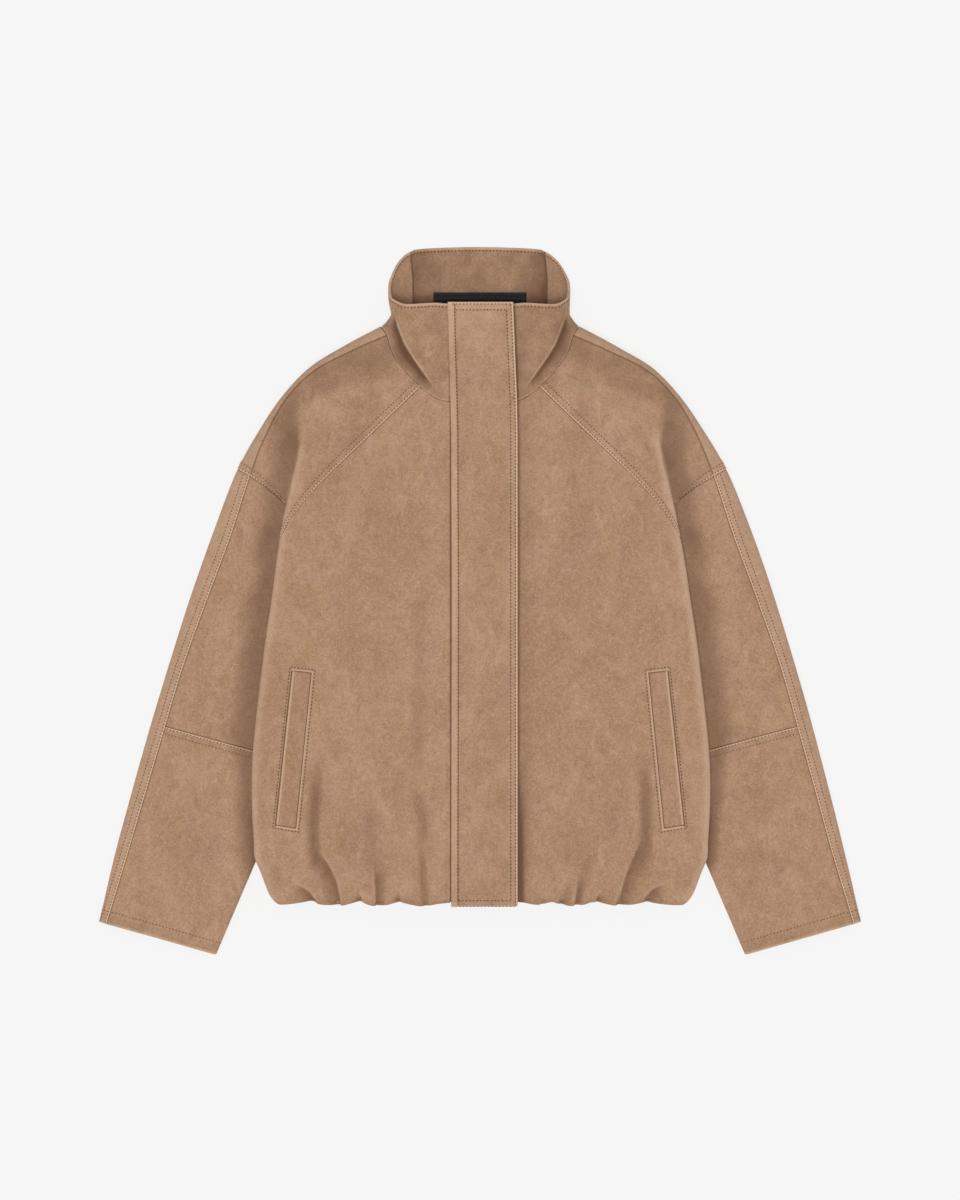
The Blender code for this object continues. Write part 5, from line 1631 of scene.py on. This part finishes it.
def label():
    half = LABEL_WIDTH / 2
    x, y = np.meshgrid(np.linspace(-half, half, LABEL_COLUMNS),
                       np.linspace(LABEL_TOP_Y - LABEL_HEIGHT, LABEL_TOP_Y, LABEL_ROWS))
    z = COLLAR_WALL + LIE_GAP + 0.15 * bumps(np.stack([x, y], axis=-1), 17.0, 31)
    normals = np.broadcast_to(UP, (*x.shape, 3))
    fold = LABEL_FOLD * bell(LABEL_TOP_Y - LABEL_FOLD_AT - y, 0.8)
    points = np.stack([x, y, z - fold], axis=-1)
    edges = {name: FREE for name in ("left", "right", "foot", "top")}
    arch = 1.2 * (x / half) ** 2
    # a painted sheen line just below the label's top
    painted_sheen = LABEL_PAINTED_SHEEN * bell(LABEL_TOP_Y - LABEL_PAINTED_SHEEN_AT - arch - y, 1.0)
    return cloth("label", points, normals, LABEL_WALL, edges, LABEL_FINISH, shade=painted_sheen,
                 outside=LABEL_WALL - drape(points, normals[..., 2])[0])


# ---- the whole garment
Cut = namedtuple("Cut", "panel width length area rests_on")


def build():
    pieces = [back(), flap(), collar_back()]
    for side, word in WORDS.items():
        pieces += [front(side, word), shoulder_front(side, word), shoulder_back(side, word)]
        pieces += [sleeve_front(side, word, part) for part in ("upper", "lower")]
        pieces += [sleeve_back(side, word), collar_front(side, word)]
        welt, ring = pocket(side, word)
        pieces.append(welt)
        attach(ring, "root")
    for piece in pieces:
        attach(piece, "root")
    tag = label()
    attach(tag, "root")
    for group in threads:
        finish = DARK_THREAD if group in DARK_GROUPS else WORN_THREAD
        sewing = object_from(group, *thread_mesh(group), finish)
        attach(sewing, "root")


# ---- stage
FRAME_HEIGHT = 1.260  # what the picture spans at the garment
CAMERA_RISE = 5.0
FOCUS_HEIGHT = 0.012
SENSOR = 36.0
FLOOR_GLOW = 0.78  # a light table, which leaves no shadow round the garment
FLOOR_REACH, FLOOR_HEIGHT = 6, -0.0004
SKY_STRENGTH = 0.50
KEY_FROM = (-0.10, -0.30, 1.0)
KEY_STRENGTH = 1.5
KEY_ANGLE = 0.6  # radians across the lamp


def stage():
    camera = bpy.data.cameras.new("camera")
    camera.sensor_width = SENSOR
    camera.lens = SENSOR * (CAMERA_RISE - FOCUS_HEIGHT) / FRAME_HEIGHT
    camera.clip_end = 50
    eye = placed("camera", camera)
    eye.location = (0, 0.0005, CAMERA_RISE)
    bpy.context.scene.camera = eye

    mesh = bpy.data.meshes.new("floor")
    corners = [(FLOOR_REACH * x, FLOOR_REACH * y, FLOOR_HEIGHT)
               for x, y in ((-1, -1), (1, -1), (1, 1), (-1, 1))]
    mesh.from_pydata(corners, [], [(0, 1, 2, 3)])
    mesh.materials.append(paper())
    placed("floor", mesh)

    world = bpy.data.worlds.new("sky")
    world.use_nodes = True
    background = world.node_tree.nodes["Background"]
    background.inputs["Color"].default_value = colour(1.0, 1.0, 1.0)
    background.inputs["Strength"].default_value = SKY_STRENGTH
    bpy.context.scene.world = world
    lamp = bpy.data.lights.new("key_light", "SUN")
    lamp.energy = KEY_STRENGTH
    lamp.angle = KEY_ANGLE
    key = placed("key_light", lamp)
    key.rotation_euler = Vector(KEY_FROM).to_track_quat("Z", "Y").to_euler()


stage()
bpy.context.scene.view_settings.view_transform = "Standard"
build()
bpy.context.view_layer.update()
